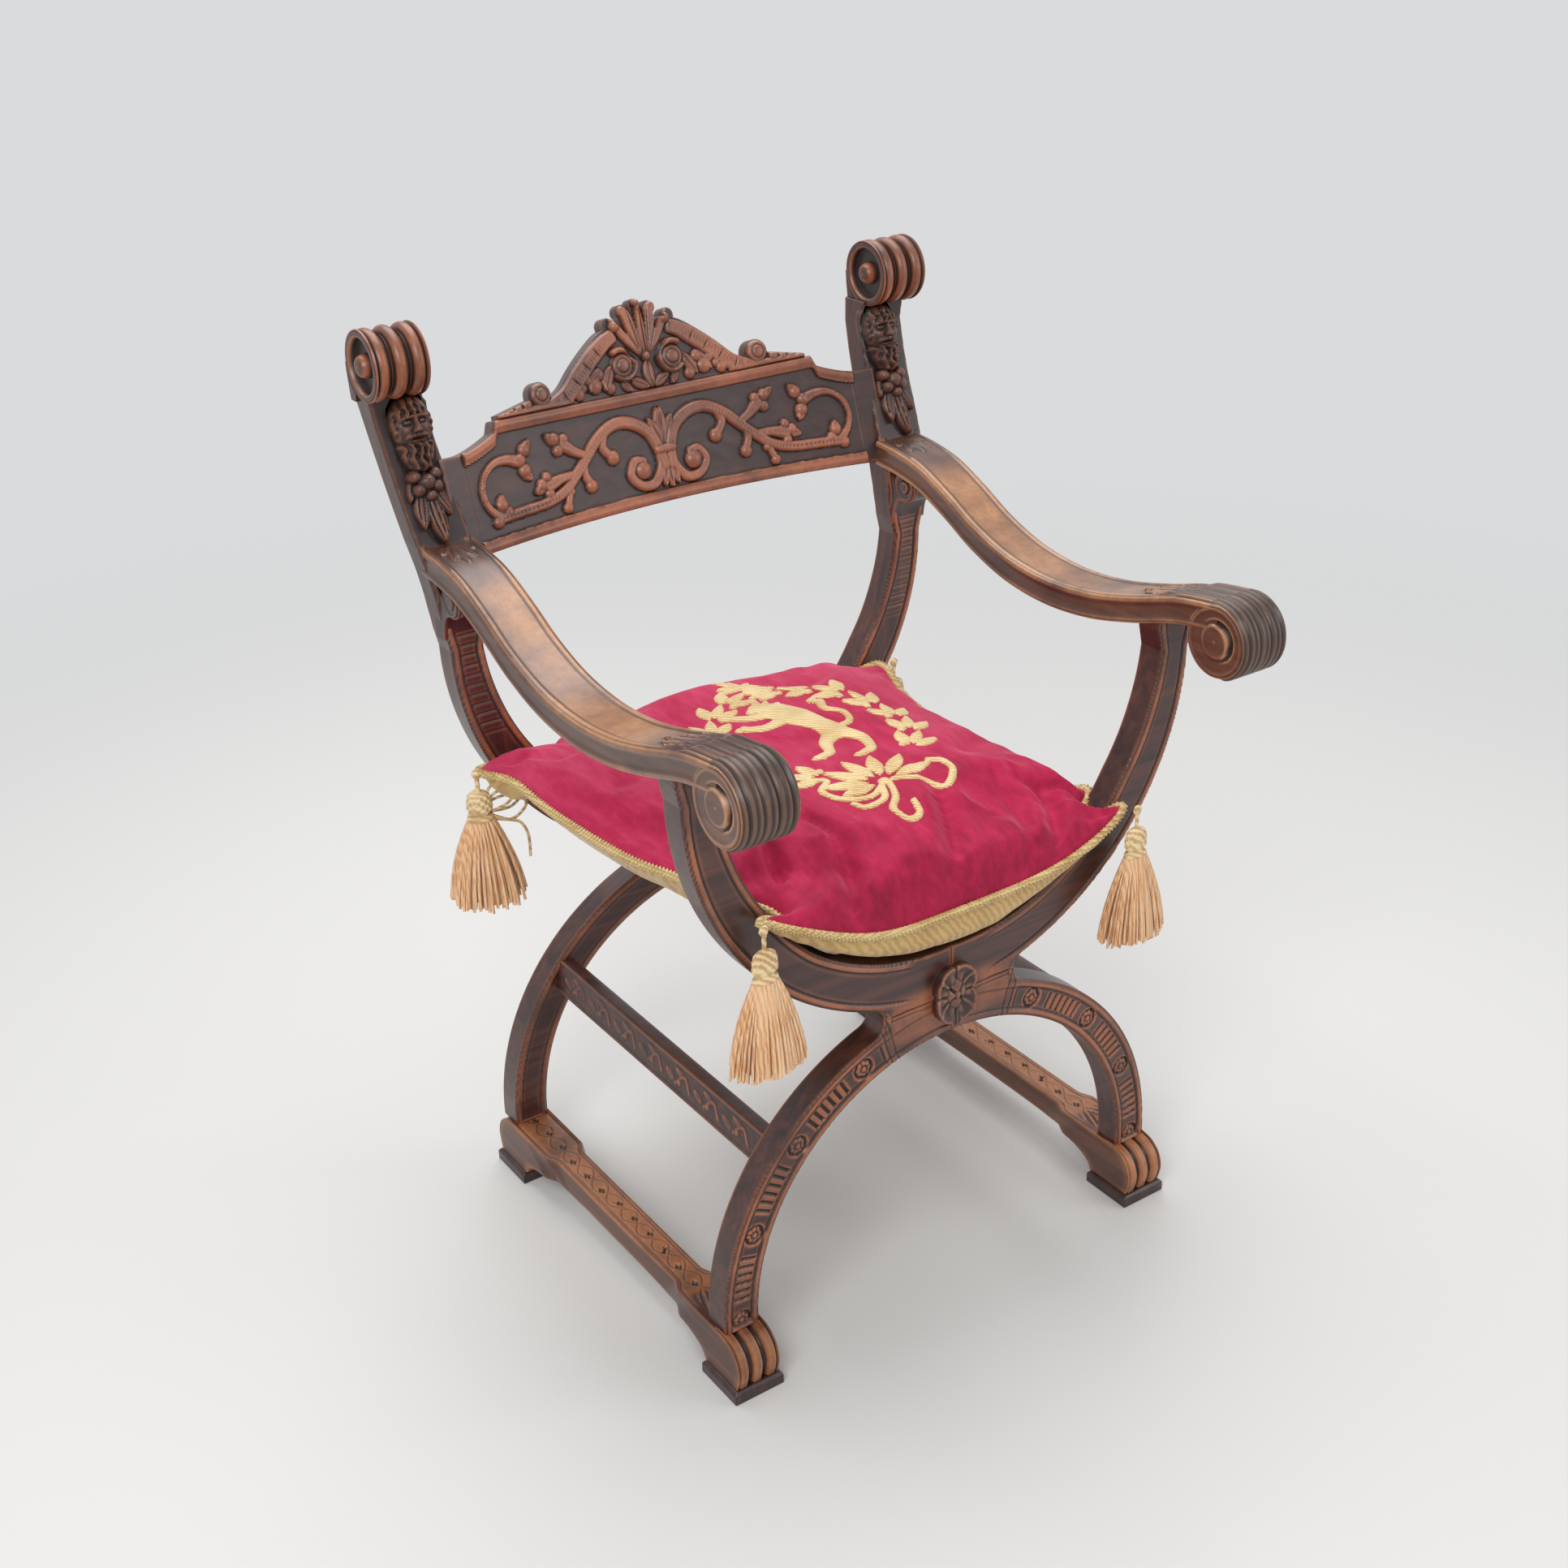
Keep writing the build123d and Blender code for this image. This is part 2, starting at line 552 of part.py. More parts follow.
with BuildPart() as crest:
    extrude(curved_section(0, crest_thickness, base_h), amount=crest_height + 2 * crest_relief)
    extrude(board.offset(-through) * crest_outline.sketch, amount=2 * through, mode=Mode.INTERSECT)
    add(crest_carving.part)
save(crest, "crest")

# ---------------------------------------------------------------- runners and foot pads
with BuildSketch(Plane.YZ) as runner_side:
    half = base_depth / 2
    pad_inner = half - pad_length
    with BuildLine():
        for side in (-1, 1):
            Spline((side * (half - toe_inset), pad_height), (side * (half + toe_overhang), runner_top * 0.6),
                   (side * (half - toe_top_length), runner_top),
                   tangents=[(side * 0.4, 1), (-side, 0.1)])
            Spline((side * pad_inner, pad_height), (side * (pad_inner - 30), runner_arch_rise - 4),
                   (side * 60, runner_arch_rise), tangents=[(-side * 0.3, 1), (-side, 0)])
            Line((side * (half - toe_inset), pad_height), (side * pad_inner, pad_height))
        Line((-(half - toe_top_length), runner_top), (half - toe_top_length, runner_top))
        Line((-60, runner_arch_rise), (60, runner_arch_rise))
    make_face()

with BuildPart() as runner:
    with BuildSketch(Plane.XY.offset(pad_height)):
        waist = runner_waist_width / 2
        block = runner_block_width / 2
        cove_end = runner_waist_half + runner_cove_length
        with Locations((foot_centre_x, 0)):
            Rectangle(2 * waist, base_depth + 10)
            for side in (-1, 1):
                length = half + 5 - cove_end
                with Locations((0, side * (cove_end + length / 2))):
                    Rectangle(2 * block, length)
        with BuildLine():
            for side in (-1, 1):
                for edge in (-1, 1):
                    Spline((foot_centre_x + edge * waist, side * runner_waist_half),
                           (foot_centre_x + edge * block, side * cove_end),
                           tangents=[(0, side), (edge, side * 0.2)])
                Line((foot_centre_x - waist, side * runner_waist_half), (foot_centre_x + waist, side * runner_waist_half))
                Line((foot_centre_x - block, side * cove_end), (foot_centre_x + block, side * cove_end))
        make_face()
    extrude(amount=runner_top - pad_height)
    extrude(runner_side.sketch, amount=2 * foot_centre_x, mode=Mode.INTERSECT)
    # reeded toes
    with BuildSketch(Plane.YZ) as toe_skin:
        add(runner_side.sketch)
        offset(runner_side.sketch, amount=-reed_depth, mode=Mode.SUBTRACT)
        Rectangle(2 * (half - toe_top_length - 4), 3 * runner_top, mode=Mode.SUBTRACT)
        with Locations((0, 0)):
            Rectangle(3 * half, 2 * (pad_height + 2), mode=Mode.SUBTRACT)
    for index in range(reed_count - 1):
        groove_x = foot_centre_x + (index - (reed_count - 2) / 2) * runner_block_width / reed_count
        extrude(Plane.YZ.offset(groove_x - reed_groove_width / 2) * Plane.YZ.to_local_coords(toe_skin.sketch),
                amount=reed_groove_width, mode=Mode.SUBTRACT)
    for face_y in (front_frame_y, back_frame_y):
        with BuildSketch(Plane.XY.offset(runner_top - leg_tenon_length - tenon_clearance)):
            with Locations((foot_centre_x, face_y + frame_thickness / 2)):
                Rectangle(leg_tenon_width + 2 * tenon_clearance, leg_tenon_depth + 2 * tenon_clearance)
        extrude(amount=leg_tenon_length + 1, mode=Mode.SUBTRACT)
save_pair(runner, "runner")

for end, side in (("front", -1), ("back", 1)):
    with BuildPart() as pad:
        with BuildSketch(Plane.XY):
            with Locations((foot_centre_x, side * (base_depth - pad_length) / 2)):
                Rectangle(pad_width, pad_length)
        extrude(amount=pad_height)
        chamfer(pad.faces().sort_by(Axis.Z)[-1].edges(), length=pad_chamfer)
    save_pair(pad, f"{end}_foot_pad")

# ---------------------------------------------------------------- side stretchers, tenoned into the legs
with BuildPart() as stretcher:
    extrude(stretcher_section(0, back_frame_y), amount=stretcher_length)
    extrude(stretcher_section(stretcher_shoulder, back_frame_y + stretcher_tenon),
            amount=stretcher_length + 2 * stretcher_tenon)
save_pair(stretcher, "stretcher")

# ---------------------------------------------------------------- slatted seat on curved cleats
slat_angles = [(index - (slat_count - 1) / 2) * slat_pitch for index in range(slat_count)]
slat_places = []
for angle in slat_angles:
    side = -1 if angle < 0 else 1
    x, z = bowl_point(abs(angle), rail_width(abs(angle)) + 0.0)
    ahead_x, ahead_z = bowl_point(abs(angle) + 1, rail_width(abs(angle) + 1))
    slope = degrees(atan2(ahead_z - z, ahead_x - x)) if angle else 0.0
    slat_places.append((side * x, z, side * slope))
slat_width = radians(slat_pitch) * (bowl_radius - rail_widths[1]) - slat_gap


def slat_plane(place, y):
    """Plane across one slat at y: local x across the slat, local y up out of the seat."""
    x, z, slope = place
    return Plane(origin=(x, y, z), x_dir=(cos(radians(slope)), 0, sin(radians(slope))), z_dir=(0, -1, 0))


seat_front_y = front_frame_y + frame_thickness + slat_end_gap
seat_back_y = back_frame_y - slat_end_gap
screw_lines = (seat_front_y + cleat_thickness / 2, seat_back_y - cleat_thickness / 2)


def seat_screw(place, y):
    """One screw, its head flush with a slat, going down into the cleat below."""
    x, z, slope = place
    up = Vector(-sin(radians(slope)), 0, cos(radians(slope)))
    with BuildPart(Plane(origin=Vector(x, y, z) - up * slat_recess, z_dir=-up)) as screw:
        below = (Align.CENTER, Align.CENTER, Align.MIN)
        Cylinder(screw_head_radius, screw_head_height, align=below)
        Cylinder(screw_shank_radius, screw_length, align=below)
    return screw.part


front_screws = [seat_screw(place, screw_lines[0]) for place in slat_places]
back_screws = [seat_screw(place, screw_lines[1]) for place in slat_places]

with BuildPart() as all_slats:
    for place in slat_places:
        with BuildSketch(slat_plane(place, seat_back_y)):
            with Locations((0, -slat_recess - slat_thickness / 2)):
                Rectangle(slat_width, slat_thickness)
        extrude(amount=seat_back_y - seat_front_y)

for number, place in enumerate(slat_places, start=1):
    with BuildPart() as slat:
        with BuildSketch(slat_plane(place, seat_back_y)):
            with Locations((0, -slat_recess - slat_thickness / 2)):
                Rectangle(slat_width, slat_thickness)
        extrude(amount=seat_back_y - seat_front_y)
        add(front_screws[number - 1], mode=Mode.SUBTRACT)
        add(back_screws[number - 1], mode=Mode.SUBTRACT)
    save(slat, f"seat_slat_{number}")

cleat_reach = slat_angles[-1] + slat_pitch / 2
cleat_stations = [step * cleat_reach / 3 for step in range(4)]
for end, cleat_y in (("front", front_frame_y + frame_thickness + cleat_thickness), ("back", back_frame_y)):
    with BuildPart() as cleat:
        with BuildSketch(Plane.XZ.offset(-cleat_y)):
            upper = [bowl_point(a, rail_width(a) - slat_recess - slat_thickness / 2) for a in cleat_stations]
            lower = [bowl_point(a, rail_width(a) - slat_recess - slat_thickness - cleat_depth)
                     for a in cleat_stations]
            with BuildLine():
                Spline(*[(-x, z) for x, z in reversed(upper)], *upper[1:])
                Spline(*[(-x, z) for x, z in reversed(lower)], *lower[1:])
                Line(upper[-1], lower[-1])
                Line((-upper[-1][0], upper[-1][1]), (-lower[-1][0], lower[-1][1]))
            make_face()
        extrude(amount=cleat_thickness)
        add(all_slats.part, mode=Mode.SUBTRACT)
        add(front_screws if end == "front" else back_screws, mode=Mode.SUBTRACT)
    save(cleat, f"{end}_seat_cleat")

with BuildPart() as seat_screws:
    add(front_screws)
    add(back_screws)
save(seat_screws, "seat_screws")

# ---------------------------------------------------------------- carved rosette over the crossing
with BuildPart() as rosette:
    with BuildSketch(Plane.XZ.offset(-front_frame_y)):
        with Locations((0, seam_z + 4)):
            Ellipse(rosette_width / 2 - 6, rosette_height / 2 - 8)
            with PolarLocations(0, rosette_petals):
                with Locations((rosette_width / 4, 0)):
                    Ellipse(rosette_width / 4, rosette_width / 8)
            for side in (-1, 1):
                with Locations((0, side * rosette_height / 4)):
                    Ellipse(rosette_width / 7, rosette_height / 4)
    extrude(amount=rosette_thickness)
    with BuildSketch(Plane.XZ.offset(-front_frame_y + rosette_thickness)):
        with Locations((0, seam_z + 4)):
            Circle(rosette_boss_radius)
    extrude(amount=rosette_boss_proud, taper=25)
save(rosette, "front_rosette")

# ---------------------------------------------------------------- the cushion, lying in the bowl
def cushion_section(y, left, right, lower, crown):
    """Lens-shaped section of the cushion at y: two corners, the points of its underside, its crown."""
    with BuildSketch(Plane.XZ.offset(-y)) as section:
        with BuildLine():
            Spline(left, (0, crown), right)
            Spline(right, *lower, left)
        make_face()
    return section.sketch


def bowl_corners(places):
    """Left and right corner points (x, z) of the cushion, from their places round the bowl."""
    (left_x, left_z), right = (bowl_point(*place) for place in places)
    return (-left_x, left_z), right


def underside(lift, reach):
    """Points of the cushion's underside, right to left, lifted off the seat out to an angle."""
    right_half = [bowl_point(share * reach, rail_width(share * reach) + lift) for share in (1, 0.66, 0.33)]
    left_half = [(-x, z) for x, z in reversed(right_half)]
    return [*right_half, bowl_point(0, rail_widths[0] + lift), *left_half]


seat_reach = 44.0            # angle out to which the cushion lies on the seat
front_edge = bowl_corners(front_corners)
neck_edge = bowl_corners(neck_corners)
body_front_edge = bowl_corners(body_front_corners)
body_middle_edge = bowl_corners(body_middle_corners)
body_back_edge = bowl_corners(body_back_corners)
neck = (underside(cushion_gap, seat_reach), cushion_crown)
lip_back_y = front_frame_y - cushion_gap
between_front_y = front_frame_y + frame_thickness + cushion_gap
between_back_y = back_frame_y - cushion_gap
with BuildPart() as cushion:
    # the lip that laps over the face of the front frame
    loft([
        cushion_section(lip_front_y, *front_edge, [(0, lip_seam_z - 6)], lip_seam_z + 6),
        cushion_section(lip_front_y + 12, *front_edge, underside(18, seat_reach), cushion_crown - 24),
        cushion_section(lip_back_y, *front_edge, underside(12, seat_reach), cushion_crown - 8),
    ], ruled=True)
    # between the uprights of the front frame, and of the back frame
    loft([
        cushion_section(lip_back_y - 8, *neck_edge, underside(14, seat_reach), cushion_crown - 12),
        cushion_section(between_front_y + 8, *neck_edge, *neck),
    ], ruled=True)
    # the wide body between the two frames
    loft([
        cushion_section(between_front_y, *body_front_edge, *neck),
        cushion_section(0, *body_middle_edge, *neck),
        cushion_section(between_back_y, *body_back_edge, *neck),
    ], ruled=True)
    loft([
        cushion_section(between_back_y - 8, *neck_edge, *neck),
        cushion_section(cushion_back_y, *neck_edge, underside(40, 40.0), cushion_crown - 6),
    ], ruled=True)
save(cushion, "cushion")

# ---------------------------------------------------------------- tassels hanging from the corners
def side_corner(middle, back, y, outward):
    """Centre of the knot beside one long edge of the cushion, at y."""
    share = y / between_back_y
    edge_x, edge_z = (a + (b - a) * share for a, b in zip(middle, back))
    return edge_x + outward * (tassel_gap + tassel_knot_radius), y, edge_z


front_knot_y = lip_front_y - tassel_gap - tassel_knot_radius
knots = {
    "front_left": (front_edge[0][0], front_knot_y, front_edge[0][1]),
    "front_right": (front_edge[1][0], front_knot_y, front_edge[1][1]),
    "back_left": side_corner(body_middle_edge[0], body_back_edge[0], back_left_tassel_y, -1),
    "back_right": side_corner(body_middle_edge[1], body_back_edge[1], back_right_tassel_y, 1),
}
with BuildPart() as tassel:
    neck_top = -tassel_cord_length
    skirt_top = neck_top - tassel_head_height
    foot = skirt_top - tassel_skirt_height
    with BuildSketch(Plane.XZ):
        with BuildLine():
            Polyline((0, 0), (tassel_cord_radius, 0), (tassel_cord_radius, neck_top),
                     (tassel_head_radius * 0.7, neck_top - tassel_head_shoulder / 4))
            Spline((tassel_head_radius * 0.7, neck_top - tassel_head_shoulder / 4),
                   (tassel_head_radius, neck_top - tassel_head_shoulder),
                   (tassel_neck_radius, neck_top - tassel_head_height * 0.55), (tassel_neck_radius, skirt_top))
            Spline((tassel_neck_radius, skirt_top),
                   (tassel_skirt_radius * 0.86, skirt_top - tassel_skirt_height * 0.6),
                   (tassel_skirt_radius, foot))
            Line((tassel_skirt_radius, foot), (0, foot))
            Line((0, foot), (0, 0))
        make_face()
    revolve(axis=Axis.Z)
flat_tassel = scale(tassel.part, by=(1, tassel_flatness, 1), mode=Mode.PRIVATE)
for corner, place in knots.items():
    with BuildPart() as hung_tassel:
        add((tassel.part if corner == "back_left" else flat_tassel).moved(Location(place)))
        with Locations(place):
            Sphere(tassel_knot_radius)
    save(hung_tassel, f"tassel_{corner}")
    print("knot of", corner, [round(value, 3) for value in place])
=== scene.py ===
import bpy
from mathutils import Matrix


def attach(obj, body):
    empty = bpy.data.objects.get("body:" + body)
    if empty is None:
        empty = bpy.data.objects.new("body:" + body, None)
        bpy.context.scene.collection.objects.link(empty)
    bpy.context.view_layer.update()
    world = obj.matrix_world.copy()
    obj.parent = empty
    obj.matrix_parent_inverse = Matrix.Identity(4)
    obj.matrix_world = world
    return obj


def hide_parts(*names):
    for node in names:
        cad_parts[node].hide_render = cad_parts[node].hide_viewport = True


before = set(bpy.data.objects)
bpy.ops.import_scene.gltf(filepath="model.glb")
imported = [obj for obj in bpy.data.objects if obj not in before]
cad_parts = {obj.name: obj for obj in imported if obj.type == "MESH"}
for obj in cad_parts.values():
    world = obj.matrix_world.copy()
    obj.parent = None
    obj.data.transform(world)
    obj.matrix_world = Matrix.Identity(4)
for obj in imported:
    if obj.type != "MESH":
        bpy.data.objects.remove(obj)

"""Looks of a carved walnut X-frame armchair with a loose velvet cushion.

Sizes inside the classes are in millimetres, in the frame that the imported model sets: the origin on
the floor under the middle of the chair, +Z up, and the sitter facing -Y.  Meshes are scaled to
metres when they are made.
"""

import logging
import math
from dataclasses import dataclass, field
from enum import Enum
from functools import partial, reduce
from typing import Callable, Sequence

import bmesh
import bpy
import numpy as np
from mathutils import Matrix, Vector
from mathutils.bvhtree import BVHTree

LOG = logging.getLogger("armchair")
MM = 0.001
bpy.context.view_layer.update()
ROOM_COLOUR = "#dadbdc"
TIMES, PLUS, MINUS = "ShaderNodeMath MULTIPLY", "ShaderNodeMath ADD", "ShaderNodeMath SUBTRACT"
SIDES = {-1: "left", 1: "right"}
Grid = np.ndarray
Points = Sequence[tuple[float, float]]
Spot = tuple[float, float, float]
Surface = Callable[[Grid, Grid], Grid]
Relief = Callable[[Grid, Grid, Grid], Grid]
Piece = bpy.types.Object
Material = bpy.types.Material
Socket = bpy.types.NodeSocket
Tree = bpy.types.NodeTree


# ---- small numeric tools
def linear(hex_colour: str) -> tuple[float, float, float, float]:
    """Turn an sRGB hex colour such as "#4a2a22" into linear RGBA."""
    channels = [int(hex_colour[i:i + 2], 16) / 255 for i in (1, 3, 5)]
    lin = [c / 12.92 if c <= 0.04045 else ((c + 0.055) / 1.055) ** 2.4 for c in channels]
    return (*lin, 1)


def ease(low: float, high: float, value: Grid) -> Grid:
    """Ease from 0 at low to 1 at high."""
    t = np.clip((value - low) / (high - low), 0, 1)
    return t * t * (3 - 2 * t)


def hump(x: Grid, width: float) -> Grid:
    """A soft bump, 1 high where x is 0."""
    return np.exp(-(x / width) ** 2)


def dome(x: Grid, radius: float) -> Grid:
    """A round section, 1 high where x is 0, that ends at the radius."""
    return np.sqrt(np.clip(1 - (x / radius) ** 2, 0, 1))


def unit(x: Grid) -> Grid:
    """Hold a share between 0 and 1."""
    return np.clip(x, 0, 1)


def highest(*grids: Grid) -> Grid:
    """The highest of several grids; of distances, what the shapes share."""
    return reduce(np.maximum, grids)


def lowest(*grids: Grid) -> Grid:
    """The lowest of several grids; of distances, the shapes together."""
    return reduce(np.minimum, grids)


def smooth_min(a: Grid, b: Grid, blend: float) -> Grid:
    """Union of two distance fields with a fillet between them."""
    h = np.maximum(blend - abs(a - b), 0) / blend
    return np.minimum(a, b) - h * h * blend / 4


def blur(grid: Grid, cells: int) -> Grid:
    """Box blur of a 2-D grid, edges held."""
    kernel = np.ones(2 * cells + 1) / (2 * cells + 1)
    out = grid
    for axis in (0, 1):
        padded = np.pad(out, [(cells, cells) if i == axis else (0, 0) for i in (0, 1)], mode="edge")
        out = np.apply_along_axis(lambda line: np.convolve(line, kernel, mode="valid"), axis, padded)
    return out


def curve_through(points: Points, per_span: int = 10) -> np.ndarray:
    """Smooth line through points (Catmull-Rom), as an array of samples."""
    pts = np.array(points, float)
    ends = np.vstack([2 * pts[0] - pts[1], pts, 2 * pts[-1] - pts[-2]])
    out = []
    for a, b, c, d in zip(ends, ends[1:], ends[2:], ends[3:]):
        t = np.linspace(0, 1, per_span, endpoint=False)[:, None]
        out.append(0.5 * (2 * b + (c - a) * t + (2 * a - 5 * b + 4 * c - d) * t**2 + (3 * b - a - 3 * c + d) * t**3))
    out.append(pts[-1:])
    return np.vstack(out)


def travelled(line: np.ndarray) -> np.ndarray:
    """Distance along a line up to each of its points."""
    return np.r_[0, np.cumsum(np.linalg.norm(np.diff(line, axis=0), axis=1))]


def picked(line: np.ndarray, at: np.ndarray, marks: np.ndarray | None = None) -> np.ndarray:
    """Points of a flat line at some marks, which run from 0 to 1 where none are given."""
    marks = np.linspace(0, 1, len(line)) if marks is None else marks
    return np.stack([np.interp(at, marks, line[:, i]) for i in (0, 1)], 1)


def line_gap(u: Grid, v: Grid, a: Sequence[float], b: Sequence[float]) -> tuple[Grid, Grid]:
    """Distance to the straight line from a to b, and how far along it the nearest point lies, 0 to 1."""
    d = np.subtract(b, a)
    t = unit(((u - a[0]) * d[0] + (v - a[1]) * d[1]) / max(float(d @ d), 1e-9))
    return np.hypot(u - a[0] - t * d[0], v - a[1] - t * d[1]), t


def worn(height: Grid, cells: int, extra: Grid | float = 0.0) -> tuple[Grid, Grid]:
    """Wear on the high parts of a carving, with some extra, and grime in its hollows, both 0 to 1."""
    above = height - blur(height, cells)
    return unit(above * 1.6 + extra), unit(above * -1.4)


def ring_faces(rows: int, around: int) -> np.ndarray:
    """Quads of a tube: rows of points, each row closed round."""
    index = np.arange(rows * around).reshape(rows, around)
    after = np.roll(index, -1, axis=1)
    return np.stack([index[:-1], after[:-1], after[1:], index[1:]], -1).reshape(-1, 4)


def upright(y: float) -> Surface:
    """An upright plane at y, as places for (u, v)."""
    return lambda u, v: np.stack([u, np.full_like(u, y), v], -1)


class Carving:
    """A relief on a flat grid: strokes, leaves and balls raised with the highest one winning."""

    def __init__(self, u: Grid, v: Grid) -> None:
        """Start flat on the grid of coordinates u, v."""
        self.u, self.v = u, v
        self.height = np.zeros_like(u)

    def stroke(self, line: Points, widths: Sequence[float], height: float, crease: float = 0.0,
               scoop: float = 0.4) -> None:
        """Raise a rounded strap along a line.

        Args:
            line: points of the middle of the strap.
            widths: half widths, spread evenly along the line.
            height: rise above the ground.
            crease: depth of a groove along the middle.
            scoop: width of that groove as a share of the strap.
        """
        pts = np.array(line, float)
        steps = travelled(pts)
        half = np.interp(steps / max(steps[-1], 1e-6), np.linspace(0, 1, len(widths)), widths)
        reach = max(widths) + 1
        near = ((self.u > pts[:, 0].min() - reach) & (self.u < pts[:, 0].max() + reach)
                & (self.v > pts[:, 1].min() - reach) & (self.v < pts[:, 1].max() + reach))
        if not near.any():
            return
        u, v = self.u[near], self.v[near]
        best = np.zeros_like(u)
        for a, b, wa, wb in zip(pts, pts[1:], half, half[1:]):
            gap, t = line_gap(u, v, a, b)
            width = wa + (wb - wa) * t
            share = unit(1 - (gap / width) ** 2)
            rise = height * np.sqrt(share) * np.minimum(1, width / max(widths) + 0.35)
            rise -= crease * unit(1 - (gap / (scoop * width)) ** 2)
            best = np.maximum(best, rise)
        self.height[near] = np.maximum(self.height[near], best)

    def ball(self, u: float, v: float, radius: float, height: float) -> None:
        """Raise a dome."""
        share = 1 - ((self.u - u) ** 2 + (self.v - v) ** 2) / radius**2
        self.height = np.maximum(self.height, height * np.sqrt(unit(share)))

    def leaf(self, root: tuple[float, float], tip: tuple[float, float], width: float, height: float,
             vein: float = 0.8, flutes: int = 1, blunt: float = 0.6) -> None:
        """Raise a leaf from root to tip.

        Args:
            root, tip: its ends.
            width: half width at the widest.
            height: rise at the tip.
            vein: depth of the grooves along it.
            flutes: how many grooves, an odd number; the middle one is the midrib.
            blunt: 1 for a pointed leaf, less for a rounder one.
        """
        a, b = np.array(root, float), np.array(tip, float)
        d = b - a
        length = float(np.hypot(*d))
        t = ((self.u - a[0]) * d[0] + (self.v - a[1]) * d[1]) / length**2
        side = ((self.u - a[0]) * d[1] - (self.v - a[1]) * d[0]) / length
        t_in = unit(t)
        half = width * np.sin(np.pi * np.clip(t_in, 0.02, 0.995) ** 0.9) ** blunt + 0.3
        inside = unit(1 - (side / half) ** 2) * (t > -0.02) * (t < 1.02)
        rise = height * np.sqrt(inside) * (0.65 + 0.35 * t_in)
        rise -= vein * np.exp(-(np.sin(np.pi * side / half * (flutes + 1) / 2) / 0.35) ** 2) * (inside > 0.12)
        self.height = np.maximum(self.height, rise)


# ---- mesh making
class Shape:
    """Vertices, faces and per-vertex wear and grime of one piece while it is being made."""

    def __init__(self) -> None:
        """Start empty."""
        self.vertices: list[np.ndarray] = []
        self.faces: list[Sequence[int]] = []
        self.attributes: dict[str, list[np.ndarray]] = {"wear": [], "grime": []}
        self.count = 0

    def add(self, vertices: np.ndarray, faces: Sequence[Sequence[int]], wear: np.ndarray | float = 0.0,
            grime: np.ndarray | float = 0.0) -> None:
        """Add a closed shell.

        Args:
            vertices: n by 3 places in millimetres.
            faces: corner numbers, outward.
            wear: how rubbed each vertex is, 0 to 1.
            grime: how much dark wax each vertex holds, 0 to 1.
        """
        self.faces.extend([[int(c) + self.count for c in f] for f in faces])
        self.vertices.append(vertices)
        for name, value in (("wear", wear), ("grime", grime)):
            self.attributes[name].append(np.broadcast_to(np.asarray(value, float), (len(vertices),)).copy())
        self.count += len(vertices)

    def build(self, name: str, material: Material, smooth_angle: float = 35.0) -> Piece:
        """Make the mesh object, in metres, shaded smooth up to an angle in degrees."""
        mesh = bpy.data.meshes.new(name)
        mesh.from_pydata((np.vstack(self.vertices) * MM).tolist(), [], self.faces)
        for attribute, values in self.attributes.items():
            layer = mesh.attributes.new(attribute, "FLOAT", "POINT")
            layer.data.foreach_set("value", np.concatenate(values).astype(np.float32))
        mesh.materials.append(material)
        mesh.shade_smooth()
        mesh.set_sharp_from_angle(angle=math.radians(smooth_angle))
        mesh.update()
        LOG.info("%s: %d faces", name, len(mesh.polygons))
        return placed(name, mesh)

    def carved(self, node: str, material: Material) -> Piece:
        """Make the mesh object that stands for a node of the frame."""
        return stand_in(self.build(node + "_carved", material), node)


def placed(name: str, data: bpy.types.ID) -> Piece:
    """Put an object that shows data into the scene."""
    piece = bpy.data.objects.new(name, data)
    bpy.context.scene.collection.objects.link(piece)
    return piece


def stand_in(piece: Piece, node: str) -> Piece:
    """Let a finished piece of walnut stand for a node of the frame."""
    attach(piece, "frame")
    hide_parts(node)
    return piece


